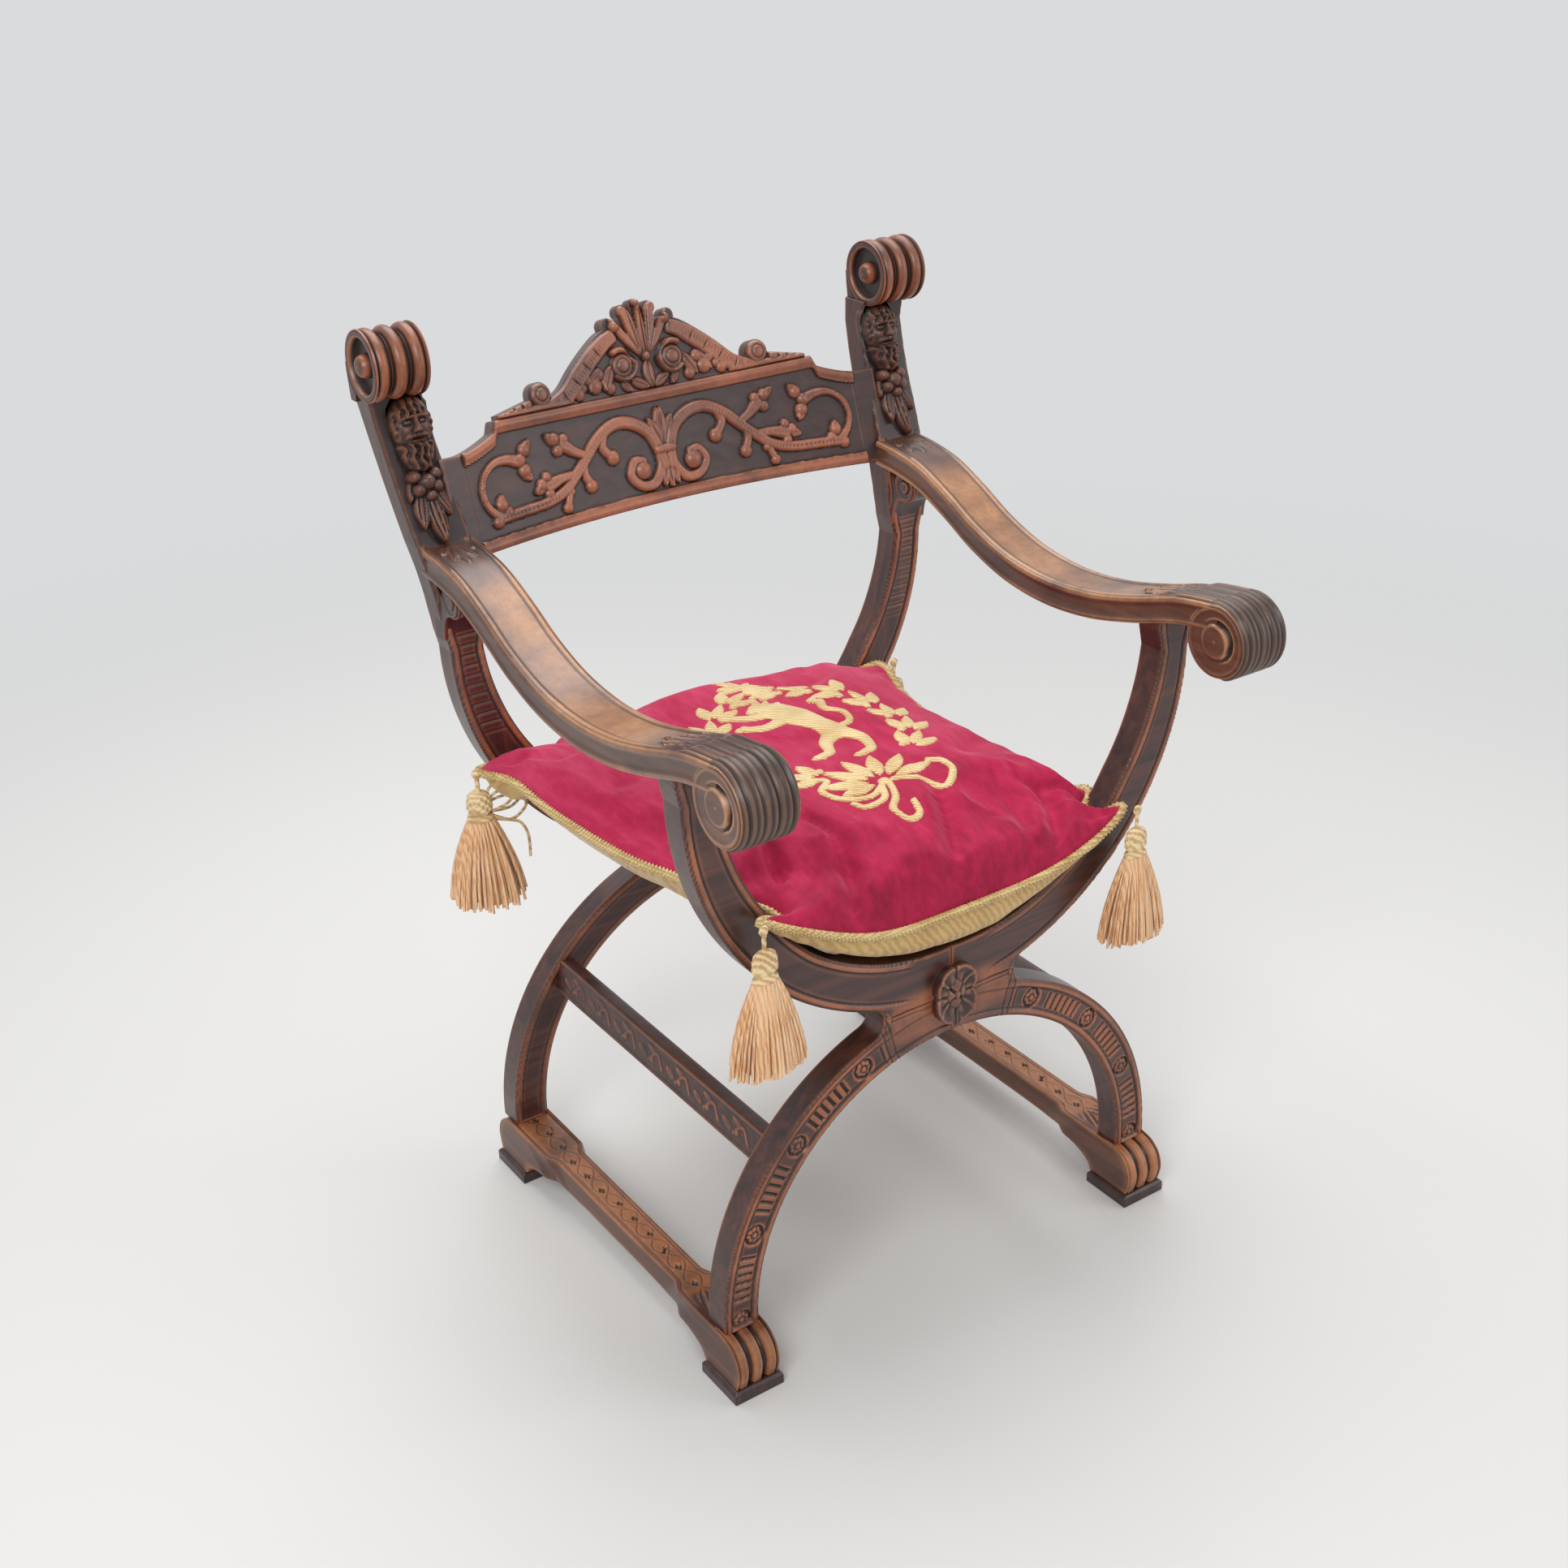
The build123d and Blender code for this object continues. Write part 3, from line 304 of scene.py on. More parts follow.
@dataclass
class Slab:
    """A board sawn to an outline and carved on its front.

    Attributes:
        outline: signed distance to the outline, negative inside, of (u, v).
        front: places of the front surface for (u, v), n by m by 3.
        back: places of the back surface.
        relief: height of the carving above the front surface.
        spans: lowest and highest u, then v.
        step: grid spacing.
        round_over: radius of the softened front edge.
        bright: height above which the carving is rubbed bright and below which the ground is dark.
        soot: how much old wax lies on (u, v), 0 to 1.
        rub: how worn the flat surface is at (u, v), 0 to 1.
    """

    outline: Surface
    front: Surface
    back: Surface
    relief: Relief
    spans: tuple[float, float, float, float]
    step: float = 1.2
    round_over: float = 1.6
    bright: float = 0.0
    soot: Surface | None = None
    rub: Surface | None = None

    def add_to(self, shape: Shape) -> Shape:
        """Mesh the board into a shape, and give it back: front grid, walls along the outline, and back."""
        u, v = np.meshgrid(*(np.linspace(low, high, int(round((high - low) / self.step)) + 1)
                             for low, high in (self.spans[:2], self.spans[2:])), indexing="ij")
        distance = self.outline(u, v)
        kept = (distance[:-1, :-1] + distance[1:, :-1] + distance[:-1, 1:] + distance[1:, 1:]) / 4 < 0
        full = np.zeros_like(u, int)
        for du in (0, 1):
            for dv in (0, 1):
                full[du:u.shape[0] - 1 + du, dv:u.shape[1] - 1 + dv] += kept
        used = full > 0
        edge = used & (full < 4)
        for _ in range(3):
            e = 0.05
            bu, bv = u[edge], v[edge]
            d = self.outline(bu, bv)
            gu = (self.outline(bu + e, bv) - self.outline(bu - e, bv)) / (2 * e)
            gv = (self.outline(bu, bv + e) - self.outline(bu, bv - e)) / (2 * e)
            size = np.maximum(gu**2 + gv**2, 0.2)
            move = np.clip(d, -0.8 * self.step, 0.8 * self.step)
            u[edge], v[edge] = bu - move * gu / size, bv - move * gv / size
        inside = np.maximum(-self.outline(u, v), 0)
        depth = np.clip(self.round_over - inside, 0, self.round_over)
        height = self.relief(u, v, inside) - (self.round_over - np.sqrt(self.round_over**2 - depth**2))
        wear, grime = worn(height, max(1, int(round(2.2 / self.step))))
        wear = np.maximum(wear, 0.75 * unit(1 - inside / 1.8))
        if self.bright:
            wear = np.maximum(wear, 0.85 * ease(0.45 * self.bright, self.bright, height))
            grime = np.maximum(grime, 0.5 * ease(0.4 * self.bright, 0, height))
        if self.soot:
            grime = np.maximum(grime, self.soot(u, v))
        if self.rub:
            wear = np.maximum(wear, self.rub(u, v))
        front = self.front(u, v)
        normal = np.cross(np.gradient(front, axis=0), np.gradient(front, axis=1))
        normal /= np.maximum(np.linalg.norm(normal, axis=2, keepdims=True), 1e-9)
        top = front + normal * height[..., None]
        back = self.back(u, v)
        number = -np.ones(u.shape, int)
        number[used] = np.arange(used.sum())
        total = int(used.sum())
        i, j = np.nonzero(kept)
        quad = np.stack([number[i, j], number[i + 1, j], number[i + 1, j + 1], number[i, j + 1]], 1)
        behind = quad[:, ::-1] + total
        # walls, one quad for each open side of a kept cell, in three rows so that wear stays at the edges
        walls = []
        padded = np.pad(kept, 1)
        for (di, dj), (a, b) in (((-1, 0), (3, 0)), ((1, 0), (1, 2)), ((0, -1), (0, 1)), ((0, 1), (2, 3))):
            open_side = padded[1:-1, 1:-1] & ~padded[1 + di:padded.shape[0] - 1 + di, 1 + dj:padded.shape[1] - 1 + dj]
            side = np.nonzero(open_side[i, j])[0]
            walls.append(np.stack([quad[side, a], quad[side, b]], 1))
        wall = np.vstack(walls)
        rim = np.unique(wall)
        place = -np.ones(total, int)
        place[rim] = np.arange(len(rim))
        flat_top, flat_back = top[used], back[used]
        drop = flat_back[rim] - flat_top[rim]
        length = np.maximum(np.linalg.norm(drop, axis=1, keepdims=True), 1e-6)
        share = np.minimum(2.5 / length, 0.4)
        upper, lower = flat_top[rim] + drop * share, flat_top[rim] + drop * (1 - share)
        rows = [wall, place[wall] + 2 * total, place[wall] + 2 * total + len(rim), wall + total]
        faces = [quad, behind]
        for above, below in zip(rows, rows[1:]):
            faces.append(np.stack([above[:, 1], above[:, 0], below[:, 0], below[:, 1]], 1))
        zero = np.zeros(len(rim))
        back_wear = np.zeros(total)
        back_wear[rim] = 0.7
        shape.add(np.vstack([flat_top, flat_back, upper, lower]), np.vstack(faces),
                  np.concatenate([wear[used], back_wear, zero, zero]),
                  np.concatenate([grime[used], np.zeros(total), zero, zero]))
        return shape


@dataclass
class Sweep:
    """A squared member swept along a path, each of its four faces open to carving.

    Attributes:
        corners: the four corner lines, each n by 3, in order round the section seen from the far end.
        spacing: distance between samples across each face, in mm.
        relief: height over face k, of (distance along, distance across, width of the face).
        radius: radius of the rounded corners.
        rub: how worn face k is, of the same three values as relief.
        edge_wear: how worn its corners are.
    """

    corners: Sequence[np.ndarray]
    spacing: tuple[float, float, float, float]
    relief: dict[int, Relief] = field(default_factory=dict)
    radius: float = 1.6
    rub: dict[int, Relief] = field(default_factory=dict)
    edge_wear: float = 0.8

    def add_to(self, shape: Shape) -> Shape:
        """Mesh the member into a shape, and give it back."""
        lines, radius = self.corners, self.radius
        middle = sum(lines) / 4
        along = travelled(middle)
        tangent = np.gradient(middle, axis=0)
        tangent /= np.linalg.norm(tangent, axis=1, keepdims=True)
        sides = [after - line for line, after in zip(lines, [*lines[1:], lines[0]])]
        lengths = [np.linalg.norm(side, axis=1, keepdims=True) for side in sides]
        sides = [side / length for side, length in zip(sides, lengths)]
        normals = [np.cross(side, tangent) for side in sides]
        if float((normals[0] * ((lines[0] + lines[1]) / 2 - middle)).sum()) < 0:
            normals = [-n for n in normals]
        none = np.zeros(len(along))
        columns = []
        for k, length in enumerate(lengths):
            # the rounded corner before this face
            heart = lines[k] + sides[k] * radius - sides[k - 1] * radius
            for turn in (0, 22.5, 45, 67.5):
                c, s = math.cos(math.radians(turn)), math.sin(math.radians(turn))
                columns.append((heart + radius * (c * normals[k - 1] + s * normals[k]),
                                none + self.edge_wear * (1 if turn else 0.5), none))
            count = max(2, int(round(float(length.mean()) / self.spacing[k])))
            across = radius + np.linspace(0, 1, count + 1)[None, :-1] * (length - 2 * radius)
            height = wear = grime = np.zeros_like(across)
            if k in self.relief:
                where = (np.broadcast_to(along[:, None], across.shape), across, length)
                height = self.relief[k](*where)
                wear, grime = worn(height, max(1, int(round(2.2 / self.spacing[k]))),
                                   self.rub[k](*where) if k in self.rub else 0)
            for c in range(count):
                columns.append((lines[k] + sides[k] * across[:, c:c + 1] + normals[k] * height[:, c:c + 1],
                                np.maximum(wear[:, c], 0 if c else 0.5 * self.edge_wear), grime[:, c]))
        ring, wear, grime = (np.stack(part, 1) for part in zip(*columns))
        n, m = wear.shape
        faces = [*ring_faces(n, m).tolist(), [*range(m)][::-1], [*range(n * m - m, n * m)]]
        area = np.cross(ring[0, 1] - ring[0, 0], ring[1, 0] - ring[0, 0])
        if float(area @ (ring[0, 0] - middle[0])) <= 0:
            faces = [face[::-1] for face in faces]
        shape.add(ring.reshape(-1, 3), faces, wear.ravel(), grime.ravel())
        return shape


# ---- turned and rolled work
@dataclass
class Roll:
    """A scroll rolled up on an axis across the chair, with carved barrel and ends.

    Attributes:
        centre: y and z of the axis.
        x_low, x_high: places of its two end faces.
        radius: radius of the barrel.
        barrel: height on the barrel for (angle, x, width).
        end: height on an end face for (radius share, angle), outward.
        rubbed: how worn the high parts of the barrel are.
        soot: how much old wax lies on the barrel.
    """

    centre: tuple[float, float]
    x_low: float
    x_high: float
    radius: float
    barrel: Callable[[Grid, Grid, float], Grid]
    end: Callable[[Grid, Grid], Grid]
    around: int = 144
    across: float = 1.3
    edge: float = 2.0
    rubbed: float = 0.0
    soot: float = 0.0

    def add_to(self, shape: Shape) -> Shape:
        """Mesh the scroll into a shape, and give it back: an end, its rim, the barrel, a rim and an end."""
        width, flat = self.x_high - self.x_low, self.radius - self.edge
        angles = np.linspace(0, 2 * np.pi, self.around, endpoint=False)
        radial = np.linspace(0.06, 1, max(6, int(self.radius / self.across)))
        share, angle = np.meshgrid(radial, angles, indexing="ij")
        end = self.end(share, angle)
        count = max(5, int((width - 2 * self.edge) / self.across))
        place, angle = np.meshgrid(np.linspace(self.edge, width - self.edge, count), angles, indexing="ij")
        skin = self.barrel(angle, place, width)
        one = np.ones((1, self.around))

        def strip(x: Grid, r: Grid, height: Grid, rubbed: float = 0.0, soot: float = 0.0) -> tuple[Grid, ...]:
            """Rows of places along and about the axis, with their wear and grime."""
            wear, hollow = worn(height, 2, rubbed * ease(-1.6, -0.2, height - height.max()))
            return x, r, wear, unit(hollow + 0.8 * ease(-2.5, -6, height) + soot)

        def rim(start: float, sign: int) -> list[tuple[Grid, ...]]:
            """Rows of the rounded rim at one end."""
            corner = self.barrel(angles[None, :], one * (start + sign * self.edge), width)
            turns = np.linspace(0, np.pi / 2, 5)[1:-1][::sign]
            return [(one * (start + sign * self.edge * (1 - math.sin(t))),
                     flat + self.edge * (1 - math.cos(t)) + corner * (1 - math.cos(t)), one, 0 * one) for t in turns]

        strips = [strip(-end, share * flat, end), *rim(0, 1),
                  strip(place, self.radius + skin, skin, self.rubbed, self.soot), *rim(width, -1),
                  strip(width + end[::-1], (share * flat)[::-1], end[::-1])]
        x, r, wear, grime = (np.vstack(part) for part in zip(*strips))
        y, z = self.centre
        points = np.stack([self.x_low + x, y + r * np.cos(angles), z + r * np.sin(angles)], -1)
        rise, (n, m) = float(end[0].mean()), x.shape
        tips = np.array([[self.x_low - rise, y, z], [self.x_high + rise, y, z]])
        after = [*range(1, m), 0]
        fans = [[i, after[i], n * m] for i in range(m)]
        fans += [[n * m - m + after[i], n * m - m + i, n * m + 1] for i in range(m)]
        shape.add(np.vstack([points.reshape(-1, 3), tips]), [*ring_faces(n, m)[:, ::-1].tolist(), *fans],
                  np.r_[wear.ravel(), 0.8, 0.8], np.r_[grime.ravel(), 0, 0])
        return shape


def curled_end(eye: float, depth: float) -> Callable[[Grid, Grid], Grid]:
    """Relief of a scroll's end: a broad rim that runs into a flat round eye below, with a gap above it.

    Args:
        eye: radius of the eye as a share of the end.
        depth: depth of the gap between the rim and the eye.
    """
    def relief(share: Grid, angle: Grid) -> Grid:
        """Height at a share of the radius and an angle."""
        open_part = (0.5 - 0.5 * np.cos(unit((np.degrees(angle) % 360 - 40) / 215) * 2 * np.pi)) ** 0.6
        width = 0.09 * open_part + 0.01
        gap = np.exp(-((share - eye - 0.06) / width) ** 4) * open_part
        rim = 0.6 * hump(share - 0.93, 0.05)
        return rim - depth * gap + 1.2 * ease(eye + 0.02, eye - 0.05, share)
    return relief


def add_prism(shape: Shape, polygon: Points, x_low: float, x_high: float) -> None:
    """Add a bar of one section, drawn in y and z, between two values of x."""
    flat = np.array(polygon, float)
    n = len(flat)
    ends = [np.column_stack([np.full(n, x), flat]) for x in (x_low, x_high)]
    area = np.sum(flat[:, 0] * np.roll(flat[:, 1], -1) - np.roll(flat[:, 0], -1) * flat[:, 1])
    order = list(range(n)) if area > 0 else list(range(n))[::-1]
    sides = [[a, b, b + n, a + n] for a, b in zip(order, order[1:] + order[:1])]
    faces = [order[::-1], [k + n for k in order], *sides]
    shape.add(np.vstack(ends), faces)


# ---- finishes
def add_node(tree: Tree, kind: str, *values: object, output: int | str = 0,
             stops: Sequence[tuple[float, str]] = (), **settings: object) -> Socket | None:
    """Add one node, set it up and link it.

    Args:
        tree: the tree that takes the node.
        kind: its type, such as "ShaderNodeMix", and after a space the operation of one that has it.
        values: what its inputs get, in order, or one table of them by name; a socket is linked.
        output: name or number of the output that is wanted.
        stops: places and hex colours of a colour ramp.
        settings: its own properties.

    Returns:
        The socket of that output, or None where the node has none.
    """
    kind, *operation = kind.split()
    node = tree.nodes.new(kind)
    if operation:
        node.operation = operation[0]
    if kind == "ShaderNodeMath" and tree.type == "SHADER":
        # every sum in a finish is a share from 0 to 1
        node.use_clamp = True
    for name, value in settings.items():
        setattr(node, name, value)
    for name, value in (values[0] if values and isinstance(values[0], dict) else dict(enumerate(values))).items():
        if isinstance(value, Socket):
            tree.links.new(value, node.inputs[name])
        else:
            node.inputs[name].default_value = value
    if stops:
        elements = node.color_ramp.elements
        while len(elements) < len(stops):
            elements.new(0.5)
        for element, (place, colour) in zip(elements, stops):
            element.position, element.color = place, linear(colour)
    return node.outputs[output] if node.outputs else None


def blank(block: bpy.types.ID) -> Callable[..., Socket]:
    """Clear the tree of a new material or world; gives the function that adds nodes to it."""
    block.use_nodes = True
    block.node_tree.nodes.clear()
    return partial(add_node, block.node_tree)


def seen_rays(add: Callable[..., Socket]) -> Socket:
    """Share of rays that show the room as it is: from the camera, a gloss or a glass."""
    camera, gloss, glass = (add("ShaderNodeLightPath", output=name)
                            for name in ("Is Camera Ray", "Is Glossy Ray", "Is Transmission Ray"))
    return add(PLUS, add(PLUS, camera, gloss), glass)


class Grain(Enum):
    """Which way the grain of a board runs, as the scale of its noise along x, y and z."""

    ACROSS = (2, 60, 60)
    FORE_AND_AFT = (60, 2, 60)
    UPRIGHT = (60, 60, 2)


@dataclass(frozen=True)
class WaxedWalnut:
    """Old carved walnut, stained and waxed: dark in the ground, rubbed orange on the high parts."""

    name: str
    grain: Grain
    deep: str = "#22110f"
    middle: str = "#40221d"
    light: str = "#5c3328"
    worn: str = "#a9623c"
    soot: str = "#140c0c"
    rubbed: float = 0.0
    roughness: float = 0.37

    def make(self) -> Material:
        """Build the material."""
        material = bpy.data.materials.new(self.name)
        add = blank(material)
        place = add("ShaderNodeTexCoord", output="Object")
        along = add("ShaderNodeMapping", {"Vector": place, "Scale": self.grain.value})
        # figure of the wood, about 17 mm from streak to streak, with pores of about 1 mm
        figure, pores, cloud, fine = (
            add("ShaderNodeTexNoise", {"Vector": vector, "Scale": scale, "Detail": detail, "Roughness": rough,
                                       "Distortion": bend}, output="Fac")
            for vector, scale, detail, rough, bend in ((along, 1, 5, 0.62, 0.8), (along, 14, 3, 0.7, 0),
                                                       (place, 9, 4, 0.6, 0), (place, 160, 4, 0.7, 0)))
        wear, grime = (add("ShaderNodeAttribute", output="Fac", attribute_name=name) for name in ("wear", "grime"))
        # wax worn off the high parts, in patches
        patch = add(TIMES, add(MINUS, cloud, 0.36), 4)
        rub = add(PLUS, add(TIMES, wear, patch), add(TIMES, wear, 0.35))
        rub = add(TIMES, add(PLUS, rub, add(TIMES, patch, self.rubbed)), add(PLUS, fine, 0.36))
        pore = add(TIMES, add(MINUS, pores, 0.52), 5)
        speck = add(TIMES, add(MINUS, fine, 0.6), 4)
        wood = add("ShaderNodeValToRGB", figure, stops=((0.3, self.deep), (0.5, self.middle), (0.72, self.light)))
        # dark pores, worn wax, soot and old wax in the hollows, and specks of it
        for share, colour in ((add(TIMES, pore, 0.35), self.deep), (rub, self.worn),
                              (add(TIMES, grime, 0.92), self.soot), (add(TIMES, speck, 0.35), self.soot)):
            wood = add("ShaderNodeMix", {0: share, 6: wood, 7: linear(colour)}, output=2, data_type="RGBA")
        rough = add(PLUS, add(TIMES, cloud, 0.22), self.roughness - 0.1)
        lumps = add("ShaderNodeBump", {"Height": cloud, "Strength": 0.25, "Distance": 0.004})
        bump = add("ShaderNodeBump", {"Height": pores, "Strength": 0.22, "Distance": 0.0006, "Normal": lumps})
        add("ShaderNodeOutputMaterial", add("ShaderNodeBsdfPrincipled", {
            "Base Color": wood, "Roughness": add(PLUS, rough, add(TIMES, grime, 0.25)), "Normal": bump, "IOR": 1.5,
            "Coat Weight": 0.3, "Coat Roughness": 0.24}))
        return material


@dataclass(frozen=True)
class SilkVelvet:
    """Crimson silk velvet: short pile that goes pale in stroked patches and, through the shader's sheen, where it is
    seen along the surface; its colour is also painted paler toward the back of the cushion as a painted sheen.
    """

    name: str = "crimson_silk_velvet"
    deep: str = "#8c1434"
    middle: str = "#b3214a"
    # the palest colour, reached by stroked pile and by the painted sheen toward the back
    brushed_and_painted_sheen: str = "#cb4468"

    def make(self) -> Material:
        """Build the material."""
        material = bpy.data.materials.new(self.name)
        add = blank(material)
        place = add("ShaderNodeTexCoord", output="Object")
        strokes = add("ShaderNodeMapping", {"Vector": place, "Rotation": (0, 0, 0.5), "Scale": (90, 22, 60)})
        cloud, brush, pile = (
            add("ShaderNodeTexNoise", {"Vector": vector, "Scale": scale, "Detail": detail, "Roughness": rough,
                                       "Distortion": bend}, output="Fac")
            for vector, scale, detail, rough, bend in (
                (place, 11, 5, 0.6, 0.6), (strokes, 1, 4, 0.6, 0), (place, 900, 2, 0.5, 0)))
        # painted sheen: the colour is pushed toward the palest stop toward the back (+Y) of the cushion, standing in
        # for light on the velvet there
        back = add(TIMES, add(PLUS, add("ShaderNodeSeparateXYZ", place, output="Y"), 0.2), 2.2)
        blend = add(MINUS, add(PLUS, add(TIMES, cloud, 0.6), add(TIMES, brush, 0.45)), 0.08)
        colour = add("ShaderNodeValToRGB", add(PLUS, blend, add(TIMES, back, 0.25)),
                     stops=((0.3, self.deep), (0.52, self.middle), (0.78, self.brushed_and_painted_sheen)))
        bump = add("ShaderNodeBump", {"Height": pile, "Strength": 0.3, "Distance": 0.0008})
        bump = add("ShaderNodeBump", {"Height": brush, "Strength": 0.25, "Distance": 0.002, "Normal": bump})
        add("ShaderNodeOutputMaterial", add("ShaderNodeBsdfPrincipled", {
            "Base Color": colour, "Roughness": add(PLUS, add(TIMES, pile, 0.2), 0.62), "Normal": bump,
            "Sheen Weight": 0.55, "Sheen Roughness": 0.35, "Sheen Tint": linear("#ff8fa6"),
            "Specular IOR Level": 0.2}))
        return material


@dataclass(frozen=True)
class SpunThread:
    """Silk or metal-wrapped thread laid in rows: fine ribs with a soft lustre."""

    name: str
    dark: str
    light: str
    rib_mm: float
    direction: str

    def make(self) -> Material:
        """Build the material."""
        material = bpy.data.materials.new(self.name)
        add = blank(material)
        place = add("ShaderNodeTexCoord", output="Object")
        cloud = add("ShaderNodeTexNoise", {"Vector": place, "Scale": 30, "Detail": 4}, output="Fac")
        ribs = add("ShaderNodeTexWave", {
            "Vector": place, "Scale": 1000 / self.rib_mm / 20 * 3.1416, "Distortion": 3, "Detail": 2,
            "Detail Scale": 1.5}, output="Fac", bands_direction=self.direction)
        colour = add("ShaderNodeValToRGB", add(PLUS, add(TIMES, cloud, 0.7), add(TIMES, ribs, 0.35)),
                     stops=((0.3, self.dark), (0.7, self.light)))
        bump = add("ShaderNodeBump", {"Height": ribs, "Strength": 0.4, "Distance": 0.0006})
        add("ShaderNodeOutputMaterial", add("ShaderNodeBsdfPrincipled", {
            "Base Color": colour, "Roughness": 0.5, "Normal": bump, "Sheen Weight": 0.3, "Sheen Roughness": 0.4}))
        return material


@dataclass(frozen=True)
class PlainFinish:
    """A plain finish with a little mottling: unwaxed poplar and screw steel."""

    name: str
    dark: str
    light: str
    roughness: float
    metallic: float = 0.0
    grain: Spot = (40.0, 3.0, 40.0)

    def make(self) -> Material:
        """Build the material."""
        material = bpy.data.materials.new(self.name)
        add = blank(material)
        along = add("ShaderNodeMapping", {"Vector": add("ShaderNodeTexCoord", output="Object"), "Scale": self.grain})
        noise = add("ShaderNodeTexNoise", {"Vector": along, "Scale": 1, "Detail": 6, "Roughness": 0.6}, output="Fac")
        colour = add("ShaderNodeValToRGB", noise, stops=((0.3, self.dark), (0.7, self.light)))
        bump = add("ShaderNodeBump", {"Height": noise, "Strength": 0.15, "Distance": 0.001})
        add("ShaderNodeOutputMaterial", add("ShaderNodeBsdfPrincipled", {
            "Base Color": colour, "Roughness": self.roughness, "Metallic": self.metallic, "Normal": bump}))
        return material


def studio_floor() -> Material:
    """Pale floor that keeps the shadow near the chair and fades into the pale room farther away."""
    material = bpy.data.materials.new("pale_studio_floor")
    add = blank(material)
    far = add("ShaderNodeVectorMath LENGTH", add("ShaderNodeTexCoord", output="Object"), output="Value")
    fade = add("ShaderNodeMapRange", {"Value": far, "From Min": 0.7, "From Max": 2.6}, interpolation_type="SMOOTHSTEP")
    paint = add("ShaderNodeBsdfDiffuse", {"Color": linear("#dedddb")})
    glow = add("ShaderNodeEmission", {"Color": linear(ROOM_COLOUR), "Strength": 1})
    add("ShaderNodeOutputMaterial", add("ShaderNodeMixShader", add(TIMES, seen_rays(add), fade), paint, glow))
    return material


class Finishes:
    """Every finish of the chair, made once."""

    def __init__(self) -> None:
        """Make the materials."""
        self.upright = WaxedWalnut("waxed_walnut_upright", Grain.UPRIGHT).make()
        self.across = WaxedWalnut("waxed_walnut_across", Grain.ACROSS).make()
        self.board = WaxedWalnut("worn_walnut_board", Grain.ACROSS, deep="#2a1819", middle="#422824",
                                 light="#5a362c", worn="#a56345", soot="#1f1516").make()
        self.arm = WaxedWalnut("rubbed_walnut_arm", Grain.FORE_AND_AFT, deep="#2b1713", middle="#4a2a20",
                               light="#6b4231", worn="#b8845c", soot="#191214", rubbed=0.14, roughness=0.34).make()
        self.runner = WaxedWalnut("scuffed_walnut_runner", Grain.FORE_AND_AFT, deep="#2c1713", middle="#4b2a20",
                                  light="#6c412e", worn="#b4744a", rubbed=0.12, roughness=0.44).make()
        self.dark = WaxedWalnut("dark_walnut_carving", Grain.UPRIGHT, deep="#1c0f0e", middle="#321c1a",
                                light="#472a22", worn="#9c6242").make()
        self.seat = PlainFinish("unwaxed_poplar", "#8c6a48", "#b08d64", 0.7).make()
        self.steel = PlainFinish("screw_steel", "#6d6d6b", "#8e8e8c", 0.4, 1, (300, 300, 300)).make()
        self.velvet = SilkVelvet().make()
        self.gold_cord = SpunThread("gold_silk_cord", "#ab8648", "#dcc48c", 1.6, "Z").make()
        self.fringe = SpunThread("gold_silk_fringe", "#d09866", "#efc79c", 2, "X").make()
        self.netting = SpunThread("cream_silk_netting", "#b58e58", "#ecd2a4", 2.4, "DIAGONAL").make()
        self.gold_thread = SpunThread("couched_gold_thread", "#c49a58", "#ecd6a0", 1.4, "DIAGONAL").make()
        self.lining = SpunThread("gold_linen_lining", "#b08a4c", "#cfab6a", 2, "DIAGONAL").make()
        self.floor = studio_floor()


# ---- the two X frames
def ring_distance(u: Grid, v: Grid) -> Grid:
    """Signed distance to the bowl, its uprights, the leg arch and the crossing, in the plane of a frame."""
    x = abs(u)
    rise = v - XFrames.bowl_z
    radius = np.hypot(x, rise)
    angle = np.degrees(np.arctan2(x, -rise))
    width = np.interp(angle, XFrames.fine_angles, XFrames.fine_widths)
    low = np.maximum(radius - XFrames.bowl_r, XFrames.bowl_r - width - radius)
    high = np.maximum(x - np.interp(v, XFrames.post_z, XFrames.post_out),
                      np.interp(v, XFrames.post_z, XFrames.post_in) - x)
    bowl = np.where(rise <= 0, low, high)
    arch_radius = np.hypot(x, v - XFrames.arch_z)
    arch = np.maximum(arch_radius - 272, 233 - arch_radius)
    foot = np.maximum(abs(x - 252.5) - 19.5, 60 - v)
    arch = np.where(v > XFrames.arch_z, arch, foot)
    block = np.maximum(x - 80, abs(v - 345) - 11)
    return smooth_min(smooth_min(bowl, arch, 12), block, 12)


